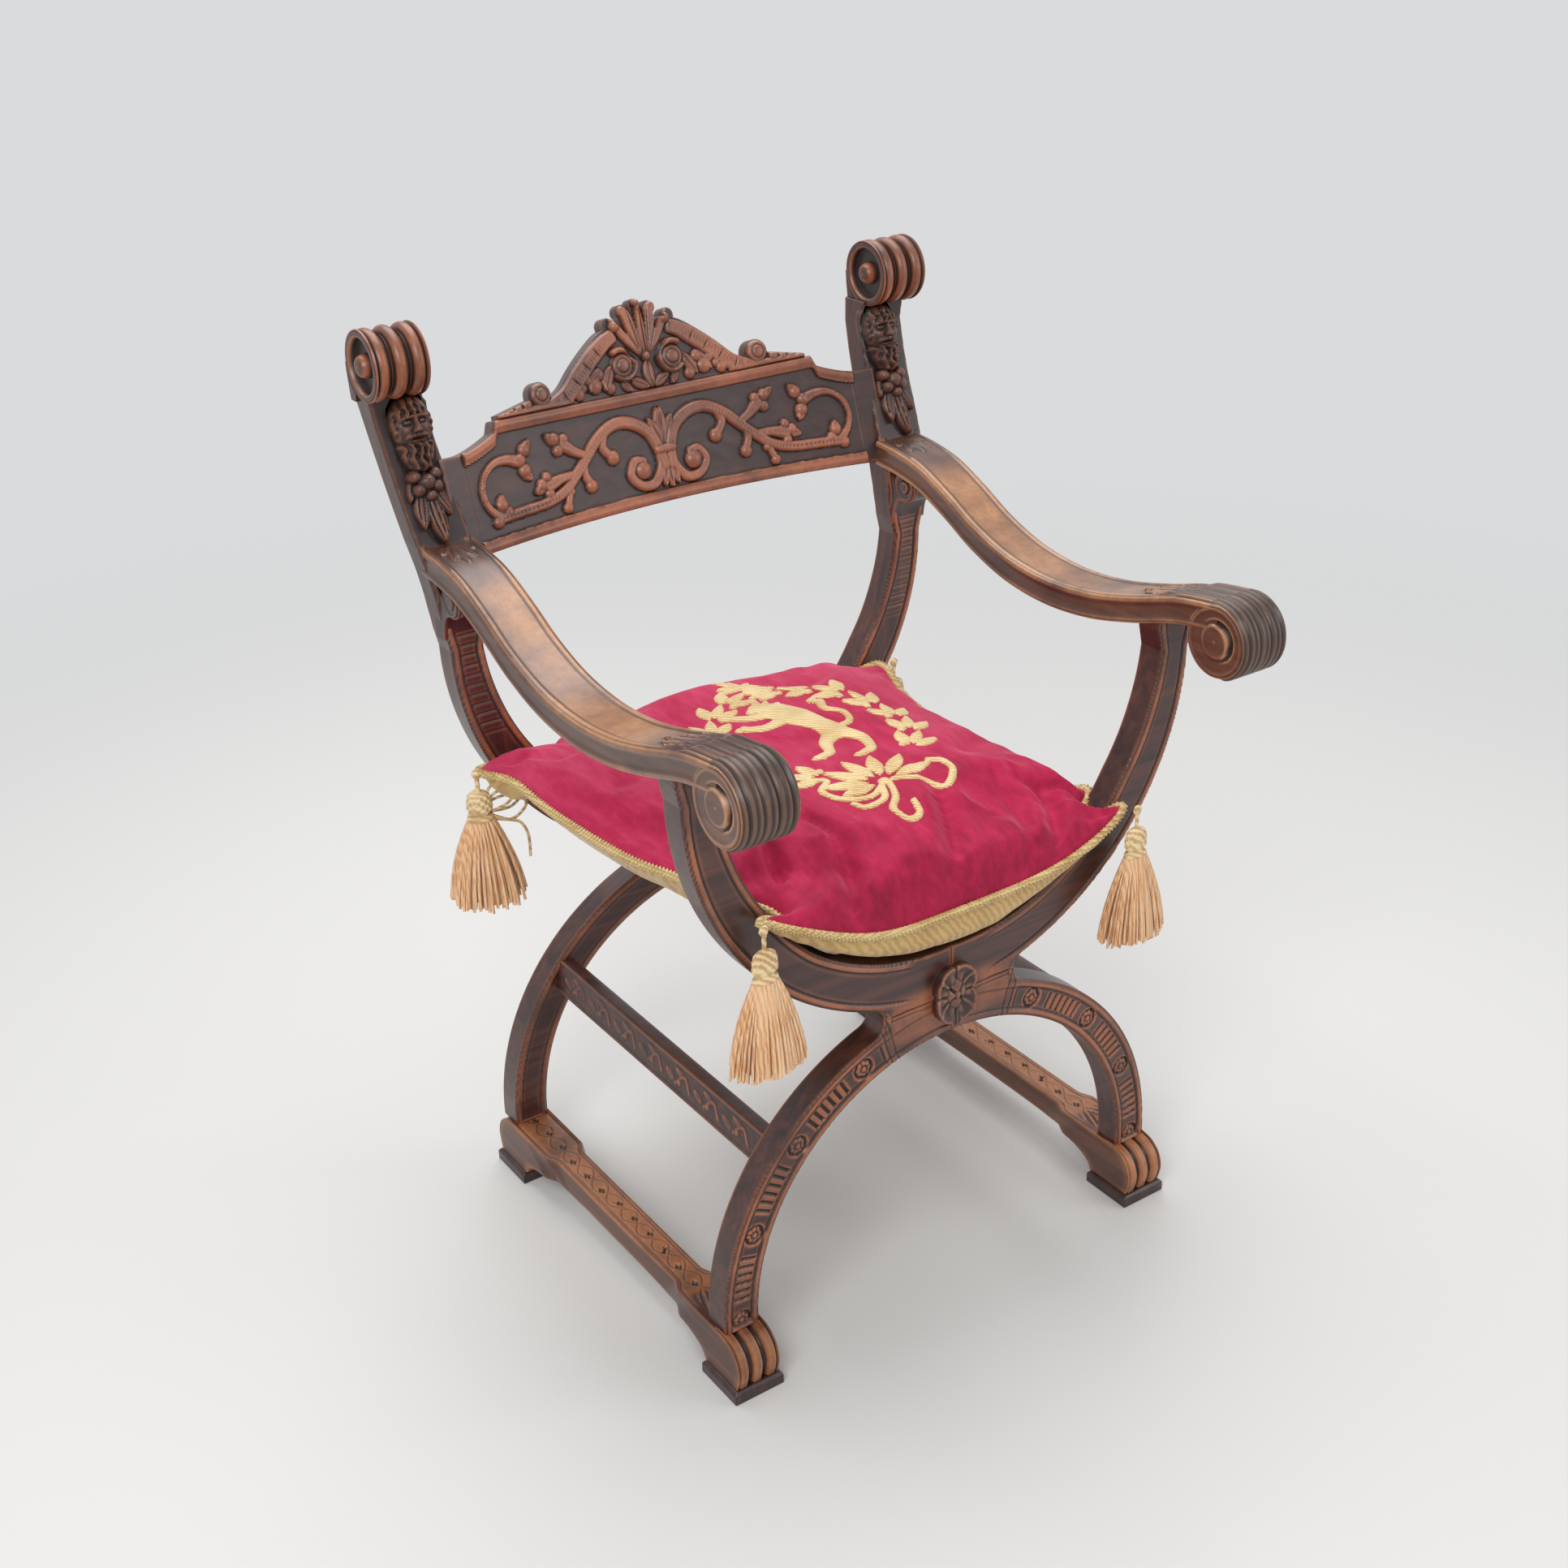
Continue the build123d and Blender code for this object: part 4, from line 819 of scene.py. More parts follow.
@dataclass
class XFrames:
    """The front and back X frames: arched legs below, the curved seat rails and uprights above."""

    front_y: float = -217.0
    back_y: float = 204.5
    thick: float = 29.0
    seam_z: float = 347.0

    bowl_r = 291.0
    bowl_z = 637.0
    arch_z = 72.0
    fine_angles = np.linspace(0, 90, 61)
    fine_widths = np.interp(fine_angles, (0, 20, 40, 60, 75, 90), (54, 49, 45, 46, 41, 35))
    post_z = np.array([637, 657, 680, 700, 720, 745, 770, 800, 830, 860, 885, 905, 960])
    post_out = np.array([291, 295.5, 298.6, 300.7, 303.2, 307, 309, 311, 313.3, 316, 320, 323, 323])
    post_in = np.array([256, 251.5, 249.2, 248.5, 248.6, 249.5, 251.6, 255, 258, 261, 264, 267, 267])

    lean_z = (600, 665, 690, 715, 740, 770, 800, 830, 860, 905)
    lean = (0, 0, 2.6, 8.6, 17.5, 31.2, 45.5, 57.5, 67.5, 67.5)

    def post_face(self, depth: float) -> Surface:
        """A surface behind the leaning face of a back post, as places for (u, v)."""
        return lambda u, v: np.stack([u, self.back_y + np.interp(v, self.lean_z, self.lean) + depth, v], -1)

    def post_rear(self, u: Grid, v: Grid) -> Grid:
        """The leaning rear of a back post."""
        return np.stack([u, self.back_y + self.thick + np.interp(v, self.lean_z, (*self.lean[:-1], 73.5)), v], -1)

    def half(self, side: int, low: float, high: float) -> Surface:
        """Outline of one half of a frame, between two heights."""
        return lambda u, v: highest(ring_distance(u, v), np.maximum(low - v, v - high), 0.05 - side * u)

    @staticmethod
    def spans(side: int, reach: float, low: float, high: float) -> tuple[float, float, float, float]:
        """Grid limits of one half."""
        return min(0, side * reach), max(0, side * reach), low, high

    def beads(self, u: Grid, v: Grid) -> Grid:
        """A small round bead near both edges of the face."""
        inside = -ring_distance(u, v)
        bead = 1.5 * dome(inside - 5, 2.6)
        return bead - 0.9 * hump(inside - 8.6, 1) - 0.6 * hump(inside - 1.8, 0.8)

    def arch_carving(self, u: Grid, v: Grid) -> Grid:
        """Rosettes and groups of flutes along the sunk band of a leg arch."""
        radius = np.hypot(u, v - self.arch_z)
        theta = np.degrees(np.arctan2(v - self.arch_z, abs(u)))
        along = np.where(v > self.arch_z, np.radians(theta) * 252.5, v - self.arch_z)
        side = np.where(v > self.arch_z, radius - 252.5, abs(u) - 252.5)
        band = ease(11.8, 10.8, abs(side)) * ease(-4, -2, along) * ease(71.5, 70.8, theta)
        height = -0.8 * band - 0.7 * hump(abs(side) - 12.4, 0.9) * (theta < 71.5)
        phase = abs((along - 97 + 48) % 96 - 48)
        rose_r, rose_a = np.hypot(phase, side), np.arctan2(side, phase)
        rose = -2.4 * ease(11.5, 10.2, rose_r)
        rim = 9.6 * (0.78 + 0.22 * abs(np.cos(2 * rose_a)))
        rose += 3.4 * dome(rose_r, rim) - 1.6 * hump(rose_r - 3.6, 0.9)
        rose -= hump(np.sin(2 * rose_a), 0.3) * (rose_r > 3.6) * (rose_r < 10)
        flutes = -2.6 * np.exp(-(((phase - 21) % 9 - 4.5) / 1.9) ** 4) * ease(21, 21.4, phase)
        flutes *= ease(9.4, 8.2, abs(side))
        return height + band * np.where(rose_r < 11.5, rose, flutes)

    def crossing_lines(self, u: Grid, v: Grid) -> Grid:
        """Cut lines across the arch where the carved band stops."""
        theta = np.degrees(np.arctan2(v - self.arch_z, abs(u)))
        lines = np.zeros_like(u)
        for angle in (72.4, 74.2):
            lines -= 1.2 * hump((theta - angle) * 4.4, 0.9) * (v > self.arch_z)
        return lines

    @staticmethod
    def crossing_wear(u: Grid, v: Grid) -> Grid:
        """Rubbed plain panels on both sides of the rosette."""
        return 0.8 * ease(76, 68, abs(u)) * ease(305, 318, v) * ease(372, 352, v)

    def leg(self, side: int, front: bool, material: Material) -> Piece:
        """One half of a leg arch, up to the seam."""
        y = self.front_y if front else self.back_y

        def relief(u: Grid, v: Grid, inside: Grid) -> Grid:
            """Carving of the leg."""
            if not front:
                return self.beads(u, v) * 0.6
            return self.beads(u, v) * 0.7 + self.arch_carving(u, v) + self.crossing_lines(u, v)

        board = Slab(self.half(side, 63.6, self.seam_z), upright(y), upright(y + self.thick), relief,
                     self.spans(side, 273.6, 62.4, 349.2), step=1.2 if front else 1.9, round_over=1.4,
                     rub=self.crossing_wear)
        return board.add_to(Shape()).carved(f"{'front' if front else 'back'}_leg_{SIDES[side]}", material)

    def bowl(self, side: int, material: Material) -> Piece:
        """One front seat rail with its upright, with a bead near both edges."""
        board = Slab(self.half(side, self.seam_z, 672), upright(self.front_y), upright(self.front_y + self.thick),
                     lambda u, v, inside: self.beads(u, v) * ease(40, 60, abs(u)),
                     self.spans(side, 302.4, 345.6, 673.2), rub=self.crossing_wear)
        return board.add_to(Shape()).carved(f"front_bowl_{SIDES[side]}", material)

    def post(self, side: int, material: Material) -> Piece:
        """One back rail with its leaning post and rolled top."""
        def relief(u: Grid, v: Grid, inside: Grid) -> Grid:
            """Bead along the edges, and bricked lines below the arm."""
            x = abs(u)
            bead = self.beads(u, v) * ease(40, 60, x)
            middle = ease(9.5, 10.5, inside)
            lines = -hump((v - 560) % 11 - 5.5, 1)
            lines *= middle * ease(540, 545, v) * ease(700, 695, v)
            return bead * ease(748, 740, v) + lines

        shape = Shape()
        Slab(self.half(side, self.seam_z, 884), self.post_face(0), self.post_rear, relief,
             self.spans(side, 324, 345.6, 900), step=1.4, round_over=1.8,
             soot=lambda u, v: 0.75 * ease(728, 752, v)).add_to(shape)

        def barrel(angle: Grid, x: Grid, width: float) -> Grid:
            """Three reeds round the roll, each between two fillets."""
            reed = width / 3
            across = abs((x % reed) / reed - 0.5) * 2
            round_top = 6.5 * (np.sqrt(unit(1 - (across * 1.45) ** 2)) - 1)
            edge_gap = np.minimum(x, width - x)
            rim = np.where(edge_gap < 4, -6.5 * ease(2.6, 3.8, edge_gap), -6.5)
            fillet = -6.5 + 2.6 * ease(0.94, 0.98, across)
            return highest(np.where(across < 0.69, round_top, -6.5), rim, fillet)

        def end(share: Grid, angle: Grid) -> Grid:
            """Deeply dished end with a round boss."""
            dish = -8.0 * ease(0.84, 0.76, share)
            boss = 12.0 * np.sqrt(unit(1 - (share / 0.36) ** 4))
            return np.maximum(dish, -8 + boss)

        low, high = (267, 323) if side > 0 else (-323, -267)
        Roll((272, 914), low, high, 35, barrel, end, rubbed=0.75, soot=0.15, across=0.9).add_to(shape)
        back = [(272 + 35 * math.cos(t), 914 + 35 * math.sin(t)) for t in np.radians(np.linspace(-4, -58, 10))]
        rear = [(306.95, 912), (306.2, 899), (304.25, 884.2), (302.7, 876), (292, 876)]
        add_prism(shape, [*rear, *back[::-1]], low - 0.15, high + 0.15)
        self.carve_mask(shape, side)
        return shape.carved(f"back_post_{SIDES[side]}", material)

    def carve_mask(self, shape: Shape, side: int) -> None:
        """A calm bearded mask over a fruit drop and long leaves, on the face of a post."""
        centre = 282.0 * side

        def outline(u: Grid, v: Grid) -> Grid:
            """Edge of the carving: a long drop, widest at the mask."""
            half = np.interp(v, (742, 748, 760, 776, 790, 806, 822, 850, 870, 880, 883),
                             (4, 9, 15, 20, 21, 18, 22, 23, 22, 15, 8))
            return highest(abs(u - centre) - half, 741 - v, v - 883)

        def relief(u: Grid, v: Grid, inside: Grid) -> Grid:
            """Height of the mask, the fruit and the leaves."""
            x, z = (u - centre) / 1.16, v - 850.0
            carve = Carving(x, z)
            # the head, an egg 42 wide and 52 high with the chin at -22
            egg = unit(1 - (x / 18.5) ** 2 - ((z - 2) / 28) ** 2)
            h = 19 * np.sqrt(egg)
            brow = 3.6 * hump(z - 8 + 0.014 * x**2, 2.3) * ease(14, 10, abs(x))
            eye_x = abs(x) - 6.4
            socket = -4.6 * np.exp(-(eye_x / 4.2) ** 2 - ((z - 3.2) / 2.7) ** 2)
            ball = 3.4 * np.sqrt(unit(1 - (eye_x / 3.2) ** 2 - ((z - 3) / 1.9) ** 2))
            nose_half = np.interp(z, (-7, -5, 0, 6, 9), (4.2, 4.6, 2.6, 2, 2.8))
            nose_high = np.interp(z, (-8, -6, -4.4, 6, 9), (0, 7.6, 7.8, 3.2, 1.2))
            nose = nose_high * unit(1 - (x / nose_half) ** 2) ** 0.6
            cheek = 2.2 * np.exp(-((abs(x) - 9) / 3.5) ** 2 - ((z + 4) / 4) ** 2)
            mouth = -2.4 * hump(z + 12.4, 1) * ease(6, 4, abs(x))
            lips = 2.0 * hump(z + 14.6, 1.3) * ease(5, 3, abs(x))
            whisker = 3.8 * hump(z + 9 + 0.16 * abs(x), 1.8) * ease(12, 8, abs(x))
            face = brow + socket + ball + nose + cheek + mouth + lips + whisker * (0.8 + 0.2 * np.cos(x * 2))
            # hair over the crown and down the sides, and a beard of curled locks
            hair = ease(11.5, 14.5, z + 0.02 * x**2) + ease(13, 15, abs(x))
            locks = 2.2 * np.cos(x * 1.05 + 0.6 * np.sin(z * 0.6)) + np.cos(z * 0.9 + abs(x) * 0.7)
            h = h + (face + unit(hair) * (2.4 + locks)) * (egg > 0.02)
            beard_half = np.interp(z, (-44, -40, -30, -18, -12), (3, 9, 14, 17, 15))
            beard = unit(1 - (x / beard_half) ** 2) * ease(-45, -39, z) * ease(-13, -17, z)
            curls = 2.6 * np.cos(x * 0.95 + 1.2 * np.sin(z * 0.36)) + 1.3 * np.cos(z * 0.7 + x * 0.4)
            h = np.maximum(h, beard**0.5 * (16 + curls))
            carve.height = np.where(h > 0.3, h, 0)
            # long fluted leaves that close the drop, and the fruit over their roots
            carve.leaf((-4, -56), (-12, -92), 8, 9, 1.6, 3)
            carve.leaf((4, -52), (15, -84), 7, 9.5, 1.6, 3)
            carve.leaf((1, -60), (4, -107), 8.5, 11, 1.8, 3)
            carve.leaf((-10, -46), (-17, -66), 4.5, 7.5, 1.2)
            for fx, fz, fr, fh in ((0, -52, 9, 18), (-9, -46, 6.5, 15), (9, -46, 6.5, 15), (-8, -58, 6.5, 15),
                                   (8, -57, 6.5, 15), (1, -64, 6, 14)):
                share = 1 - ((x - fx) ** 2 + (z - fz) ** 2) / fr**2
                carve.height = np.maximum(carve.height, fh * unit(share) ** 0.4)
            return carve.height

        Slab(outline, self.post_face(0), self.post_face(8), relief, (centre - 24, centre + 24, 740, 885), step=0.75,
             round_over=0.8, soot=lambda u, v: np.full_like(u, 0.62)).add_to(shape)

    def make(self, finishes: Finishes) -> None:
        """Make both frames."""
        for side in (-1, 1):
            self.leg(side, True, finishes.across)
            self.leg(side, False, finishes.across)
            self.bowl(side, finishes.across)
            self.post(side, finishes.upright)


# ---- arms
@dataclass
class Arms:
    """The pair of swept arms with a rolled scroll in front."""

    centre_x: float = 275.0
    width: float = 57.0
    thick: float = 27.0
    scroll: tuple[float, float] = (-292.0, 674.0)
    scroll_radius: float = 36.0
    top_line: Points = ((226.0, 742.0), (190.0, 738.5), (150.0, 730.0), (105.0, 711.0), (60.0, 689.0),
                        (5.0, 671.5), (-57.0, 665.0), (-120.0, 670.0), (-180.0, 684.0), (-240.0, 702.0),
                        (-292.0, 710.0))

    @staticmethod
    def flutes(middle: Grid) -> Grid:
        """Flutes of the leaf over the scroll, across the arm from its middle."""
        flute = abs((middle + 35) % 14 - 7)
        return 2.8 - 2.4 * hump(7 - flute, 1.6) - 0.9 * hump(flute, 1)

    def top_carving(self, along: Grid, across: Grid, width: Grid) -> Grid:
        """Beads near both edges, a leaf behind and the long leaf that runs over the scroll."""
        middle = across - width / 2
        side = width / 2 - abs(middle)
        bead = 1.5 * dome(side - 5.4, 2.5) - hump(side - 9.2, 1.1)
        total = float(along.max())
        carve = Carving(along, middle)
        for reach, spread, lean in ((50, 0, 0), (42, 12, 4), (42, -12, -4), (26, 17, 12), (26, -17, -12)):
            carve.leaf((8, lean * 0.5), (reach, spread), 6, 1.7, 1.3, 1)
        for ahead, spread, size in ((0, 0, 7), (10, 10, 6.5), (10, -10, 6.5), (30, 19, 7), (30, -19, 7)):
            tip = total - 124 + ahead
            carve.leaf((tip + 84, spread * 0.6), (tip, spread), size, 2.8, 1.4, 3)
        ahead = ease(total - 66, total - 46, along)
        height = np.maximum(carve.height * (1 - ahead), self.flutes(middle) * ahead * ease(26.5, 24.5, abs(middle)))
        return np.maximum(bead * ease(total - 66, total - 96, along) * ease(2, 10, along), height)

    @staticmethod
    def top_wear(along: Grid, across: Grid, width: Grid) -> Grid:
        """Rubbed by hands in the middle of the arm, dark toward the scroll."""
        total = float(along.max())
        middle = 0.66 * ease(64, 120, along) * ease(total - 90, total - 150, along)
        return middle - 0.9 * ease(60, 52, along) - 0.9 * ease(total - 84, total - 70, along)

    @staticmethod
    def side_carving(along: Grid, across: Grid, width: Grid) -> Grid:
        """A shallow hollow between two fillets along the side."""
        edge = np.minimum(across, width - across)
        return 0.9 * hump(edge - 3.6, 1.6) - 0.8 * ease(6, 8.5, edge)

    @staticmethod
    def swept(low: float, high: float, upper: np.ndarray, lower: np.ndarray, **how: object) -> Shape:
        """Sweep a member between two values of x, from the lines of its top and bottom in y and z."""
        lines = [np.column_stack([np.full(len(line), x), line])
                 for x, line in ((low, upper), (high, upper), (high, lower), (low, lower))]
        return Sweep(lines, **how).add_to(Shape())

    def one(self, side: int, material: Material) -> Piece:
        """Make one arm."""
        path = curve_through(self.top_line, 12)
        steps = travelled(path)
        top = picked(path, np.linspace(0, steps[-1], int(steps[-1] / 1.9)), steps)
        low, high = self.centre_x * side - self.width / 2, self.centre_x * side + self.width / 2
        shape = self.swept(low, high, top, top - [0, self.thick], spacing=(1.4, 2.2, 8, 2.2), radius=2.2,
                           rub={0: self.top_wear},
                           relief={0: self.top_carving, 1: self.side_carving, 3: self.side_carving})

        def barrel(angle: Grid, x: Grid, width: float) -> Grid:
            """Flutes of the leaf that wraps over the front of the scroll."""
            middle = x - width / 2
            # angle 90 degrees is up and 180 is forward; the leaf ends under the front
            turn = np.degrees(angle) % 360
            cover = ease(262, 250, turn) * ease(45, 60, turn)
            return self.flutes(middle) * cover * ease(26.5, 24.5, abs(middle))

        Roll(self.scroll, low, high, self.scroll_radius, barrel, curled_end(0.5, 6), around=160,
             soot=0.75).add_to(shape)
        return shape.carved(f"arm_{SIDES[side]}", material)

    def bracket(self, side: int, material: Material) -> Piece:
        """The small scrolled bracket under the rear of an arm."""
        front = curve_through([(205.5, 652), (202, 668), (195, 679), (183, 682.5)], 8)
        back = curve_through([(224, 652), (226, 672), (226, 700), (226, 722)], 8)
        low, high = self.centre_x * side - 22.5, self.centre_x * side + 22.5
        shape = self.swept(low, high, front, picked(back, np.linspace(0, 1, len(front))),
                           spacing=(3, 4, 8, 4), radius=1.2)

        def barrel(angle: Grid, x: Grid, width: float) -> Grid:
            """A plain roll with a bead at each edge."""
            return dome(width / 2 - abs(x - width / 2) - 3, 2.4) + 0 * angle

        Roll((183, 699), low, high, 17, barrel, curled_end(0.45, 4), around=72).add_to(shape)
        return shape.carved(f"arm_bracket_{SIDES[side]}", material)

    def make(self, finishes: Finishes) -> None:
        """Make both arms and brackets."""
        for side in (-1, 1):
            self.one(side, finishes.arm)
            self.bracket(side, finishes.dark)


# ---- back panel and crest
@dataclass
class BackBoard:
    """The hollow board between the posts, with its scrolled foliage, and the cresting on top."""

    y: float = 222.0
    z: float = 718.0
    lean: float = math.radians(18)
    sag: float = 26.0
    half_chord: float = 250.0
    thick: float = 18.0
    height: float = 129.0

    def on_board(self, back: float) -> Surface:
        """A surface behind the face of the hollow board, as places for u across it and v up it."""
        def place(u: Grid, v: Grid) -> Grid:
            """Places for (u, v)."""
            depth = self.sag * (1 - (u / self.half_chord) ** 2) + back
            return np.stack([u, self.y + v * math.sin(self.lean) + depth * math.cos(self.lean),
                             self.z + v * math.cos(self.lean) - depth * math.sin(self.lean)], -1)
        return place

    def panel_outline(self, u: Grid, v: Grid) -> Grid:
        """Edge of the panel."""
        x = abs(u)
        low = 12 * unit(1 - (x / 270) ** 2)
        t = unit((242 - x) / 52)
        top = 103 + 26 * (0.66 * t**1.5 + 0.34 * ease(0.86, 0.98, t))
        # the post hides the ends, so they are cut square inside it
        return highest(low - v, v - top, x - 262)

    def foliage(self, carve: Carving) -> None:
        """Carve the right half: a great scroll from the middle, its buds, and the scroll at the end."""
        stem = [(4, 50), (7, 66), (16, 86), (36, 99), (57, 100), (78, 89), (95, 73), (112, 58), (128, 46),
                (150, 39), (181, 36), (207, 34)]
        bough = ((stem, (7.4, 7.4, 7, 6.6, 6.2, 6, 6), 6.4, 1.6),
                 ([(7, 66), (8, 48), (20, 33), (36, 34), (46, 46), (39, 59), (29, 58)], (6.4, 6.2, 5.6, 5), 6, 1.2),
                 ([(57, 100), (68, 93), (73, 81), (66, 70)], (5.2, 5.4, 5.4), 5.8, 0.9),
                 ([(92, 75), (106, 82), (118, 91)], (4.6, 5.6, 8), 6.2, 1.6),
                 ([(98, 72), (100, 58), (96, 48)], (4.6, 5, 5.4), 5.8, 0.9),
                 ([(110, 60), (128, 59), (145, 55)], (5, 5.4, 8), 6.2, 1.6),
                 ([(117, 56), (123, 42), (127, 32)], (4.6, 4.4, 4.6), 5.6, 0.8),
                 ([(207, 34), (219, 46), (223, 62), (217, 78), (203, 88), (188, 89), (174, 85)],
                  (6, 3.8, 3.4, 3.8, 5, 7), 6.2, 1.5))
        for line, widths, height, crease in bough:
            carve.stroke(curve_through(line, 6), widths, height, crease)
        # buds and curled tips: place, radius
        for u, v, radius in ((31, 49, 10.5), (63, 68, 8.2), (128, 99, 7.2), (117, 97, 6.4), (126, 87, 6.6),
                             (95, 45, 7.6), (153, 57, 6.8), (146, 64, 6), (146, 47, 6.2), (128, 29, 6.4),
                             (165, 95, 7.6), (169, 75, 7.8), (172, 86, 7), (204, 47, 7.6), (198, 39, 6.4),
                             (212, 31, 6.6), (120, 44, 4.6)):
            carve.ball(u, v, radius, 0.45 * radius + 3.6)
        for root, tip, width in (((170, 88), (158, 104), 6.5), ((172, 80), (164, 64), 6.8), ((206, 38), (203, 57), 7),
                                 ((124, 92), (138, 106), 6), ((148, 56), (163, 50), 6),
                                 ((0, 72), (2, 109), 8), ((2, 74), (14, 100), 6.5),
                                 ((2, 60), (8, 28), 7), ((0, 58), (0, 24), 6)):
            carve.leaf(root, tip, width, 6.2, 1.3)
        carve.stroke([(0, 66), (9, 66)], (5.5, 5.5), 7.6)

    def panel_relief(self, u: Grid, v: Grid, inside: Grid) -> Grid:
        """Mouldings and foliage on the sunk field, between plain strips at the posts."""
        x = abs(u)
        carve = Carving(x, v)
        self.foliage(carve)
        ground = 0.25 * np.sin(u / 7 + 1.5 * np.sin(v / 9)) * np.sin(v / 6 + np.sin(u / 11))
        across = np.where(x > 236, 60, np.minimum(inside, 60))
        moulding = 5.0 * ease(13.5, 12, across) + 0.9 * np.cos((across - 5.5) / 13 * 2 * np.pi) * (across < 12)
        strip = -0.5 * hump(x - 235.5, 0.7)
        return np.maximum(np.maximum(carve.height, ground) * ease(13, 14, across), moulding - 0.9) + strip

    def panel(self, material: Material) -> Piece:
        """Make the back panel."""
        board = Slab(self.panel_outline, self.on_board(0), self.on_board(self.thick), self.panel_relief,
                     (-264, 264, -1.2, 130.8), bright=4)
        return board.add_to(Shape()).carved("back_panel", material)

    def crest_carving(self, u: Grid, v: Grid) -> Carving:
        """The cresting: raked straps, a pair of volutes and a shell, with buds running out."""
        x, k = abs(u), v - self.height
        carve = Carving(x, k)
        rake = curve_through([(120, 2), (100, 10), (81, 26), (63, 41), (46, 53), (36, 58)], 6)
        carve.stroke(rake, (8, 10, 10, 9.6, 8), 6, 2.6, 0.62)
        for index in range(5, len(rake) - 6, 5):
            (x0, y0), (x1, y1) = rake[index - 1], rake[index + 1]
            lean = np.array([y0 - y1, x1 - x0]) / math.hypot(x1 - x0, y1 - y0)
            gap = line_gap(x, k, rake[index] - 5 * lean, rake[index] + 5 * lean)[0]
            carve.height -= 1.2 * hump(gap, 0.8) * (carve.height > 2)
        # buds under the straps
        for bx, bk, radius in ((66, 13, 9), (59, 24, 7), (73, 20, 6), (86, 8, 7), (80, 13, 5), (98, 4, 5),
                               (48, 8, 7), (54, 15, 5)):
            carve.ball(bx, bk, radius, 0.4 * radius + 2.8)
        for root, tip, width, height, vein in (
                ((42, 30), (56, 6), 7, 6.4, 1.6), ((58, 30), (74, 8), 6, 6, 1.4), ((22, 12), (3, 2), 6, 6, 1.2),
                ((0, 30), (0, 1), 7.5, 6.5, 1.6), ((34, 12), (24, 1), 5, 5.6, 1)):
            carve.leaf(root, tip, width, height, vein)
        # volutes: a flat disc, its ring, and the strap that feeds it
        t = np.linspace(0, 1, 24)
        radius, phi = 16.5 * (13.5 / 16.5) ** t, np.radians(60) + 2 * np.pi * 0.7 * t
        carve.stroke(np.stack([30 + radius * np.cos(phi), 28 + radius * np.sin(phi)], 1), (3.8, 3.8, 3), 8.6)
        carve.ball(30, 28, 14, 8)
        rim = np.hypot(x - 30, k - 28)
        carve.height -= 1.6 * hump(rim - 7.5, 1.2) + 1.4 * hump(rim - 12.4, 0.8)
        # shell: a slim leaf between four scooped petals that curl outward, under a small ball
        petal = curve_through([(4, 34), (12, 55), (21, 74)], 8)
        carve.height *= 1 - np.exp(-(line_gap(x, k, petal[4], petal[-1])[0] / 15) ** 8)
        carve.stroke(petal, (2.5, 7, 11, 13.5, 14), 9, 4.5, 0.85)
        carve.ball(30, 68, 6.5, 8.6)
        for a, b in (((6, 44), (12, 82)), ((8, 42), (25, 78))):
            carve.height -= 1.3 * hump(line_gap(x, k, a, b)[0], 1)
        carve.leaf((0, 34), (0, 86), 5.5, 9.4, 1.8)
        carve.ball(0, 88, 4.4, 8.4)
        carve.ball(0, 33, 5.6, 9)
        # end scrolls with their tails
        carve.ball(131, 15.5, 12, 6.6)
        rim = np.hypot(x - 131, k - 15.5)
        carve.height -= 1.5 * hump(rim - 7, 1.1) * (rim < 12)
        carve.stroke([(104, 3.5), (140, 3), (186, 2)], (4.4, 4, 2.4), 4.8)
        for bx, bk, radius in ((149, 8, 6), (160, 6, 5), (170, 5, 4.4), (179, 3.4, 4), (112, 7, 5.5)):
            carve.ball(bx, bk, radius, 0.5 * radius + 2.4)
        return carve

    def crest(self, material: Material) -> Piece:
        """Make the cresting."""
        def outline(u: Grid, v: Grid) -> Grid:
            """Edge of the cresting, following the carving."""
            x, k = abs(u), v - self.height
            strap = np.array(curve_through([(118, 3), (100, 12), (82, 29), (64, 44), (47, 56), (38, 60)], 4))
            best = np.full_like(x, 99)
            for a, b in zip(strap, strap[1:]):
                best = np.minimum(best, line_gap(x, k, a, b)[0] - 8)
            roof = np.interp(x, strap[::-1, 0], strap[::-1, 1])
            under = np.where((x < 118) & (x > 38), k - roof, np.where(x <= 38, k - 60, 99))
            body = np.minimum(best, np.maximum(under, -99))
            fan = 99.0 + 0 * x
            for base, tip in (((0, 32), (0, 86)), ((5, 34), (14, 78)), ((9, 36), (28, 64))):
                fan = np.minimum(fan, line_gap(x, k, base, tip)[0] - 6.4)
            fan = lowest(fan, np.hypot(x - 15, k - 81) - 7.6, np.hypot(x - 36, k - 70) - 8)
            end = np.hypot(x - 131, k - 15.5) - 13
            tail = highest(x - 186, 100 - x, k - np.interp(x, (100, 131, 186), (8, 16, 4)))
            whole = lowest(body, fan, end, tail)
            return np.maximum(whole, -k - 0.5)

        def relief(u: Grid, v: Grid, inside: Grid) -> Grid:
            """Carving, eased off at the edge."""
            return self.crest_carving(u, v).height * ease(-0.5, 1.8, inside)

        board = Slab(outline, self.on_board(0), self.on_board(14), relief, (-189, 189, 127.5, 223), step=0.9,
                     round_over=1.2, bright=4.2)
        return board.add_to(Shape()).carved("crest", material)

    def make(self, finishes: Finishes) -> None:
        """Make the panel and the cresting."""
        self.panel(finishes.board)
        self.crest(finishes.board)


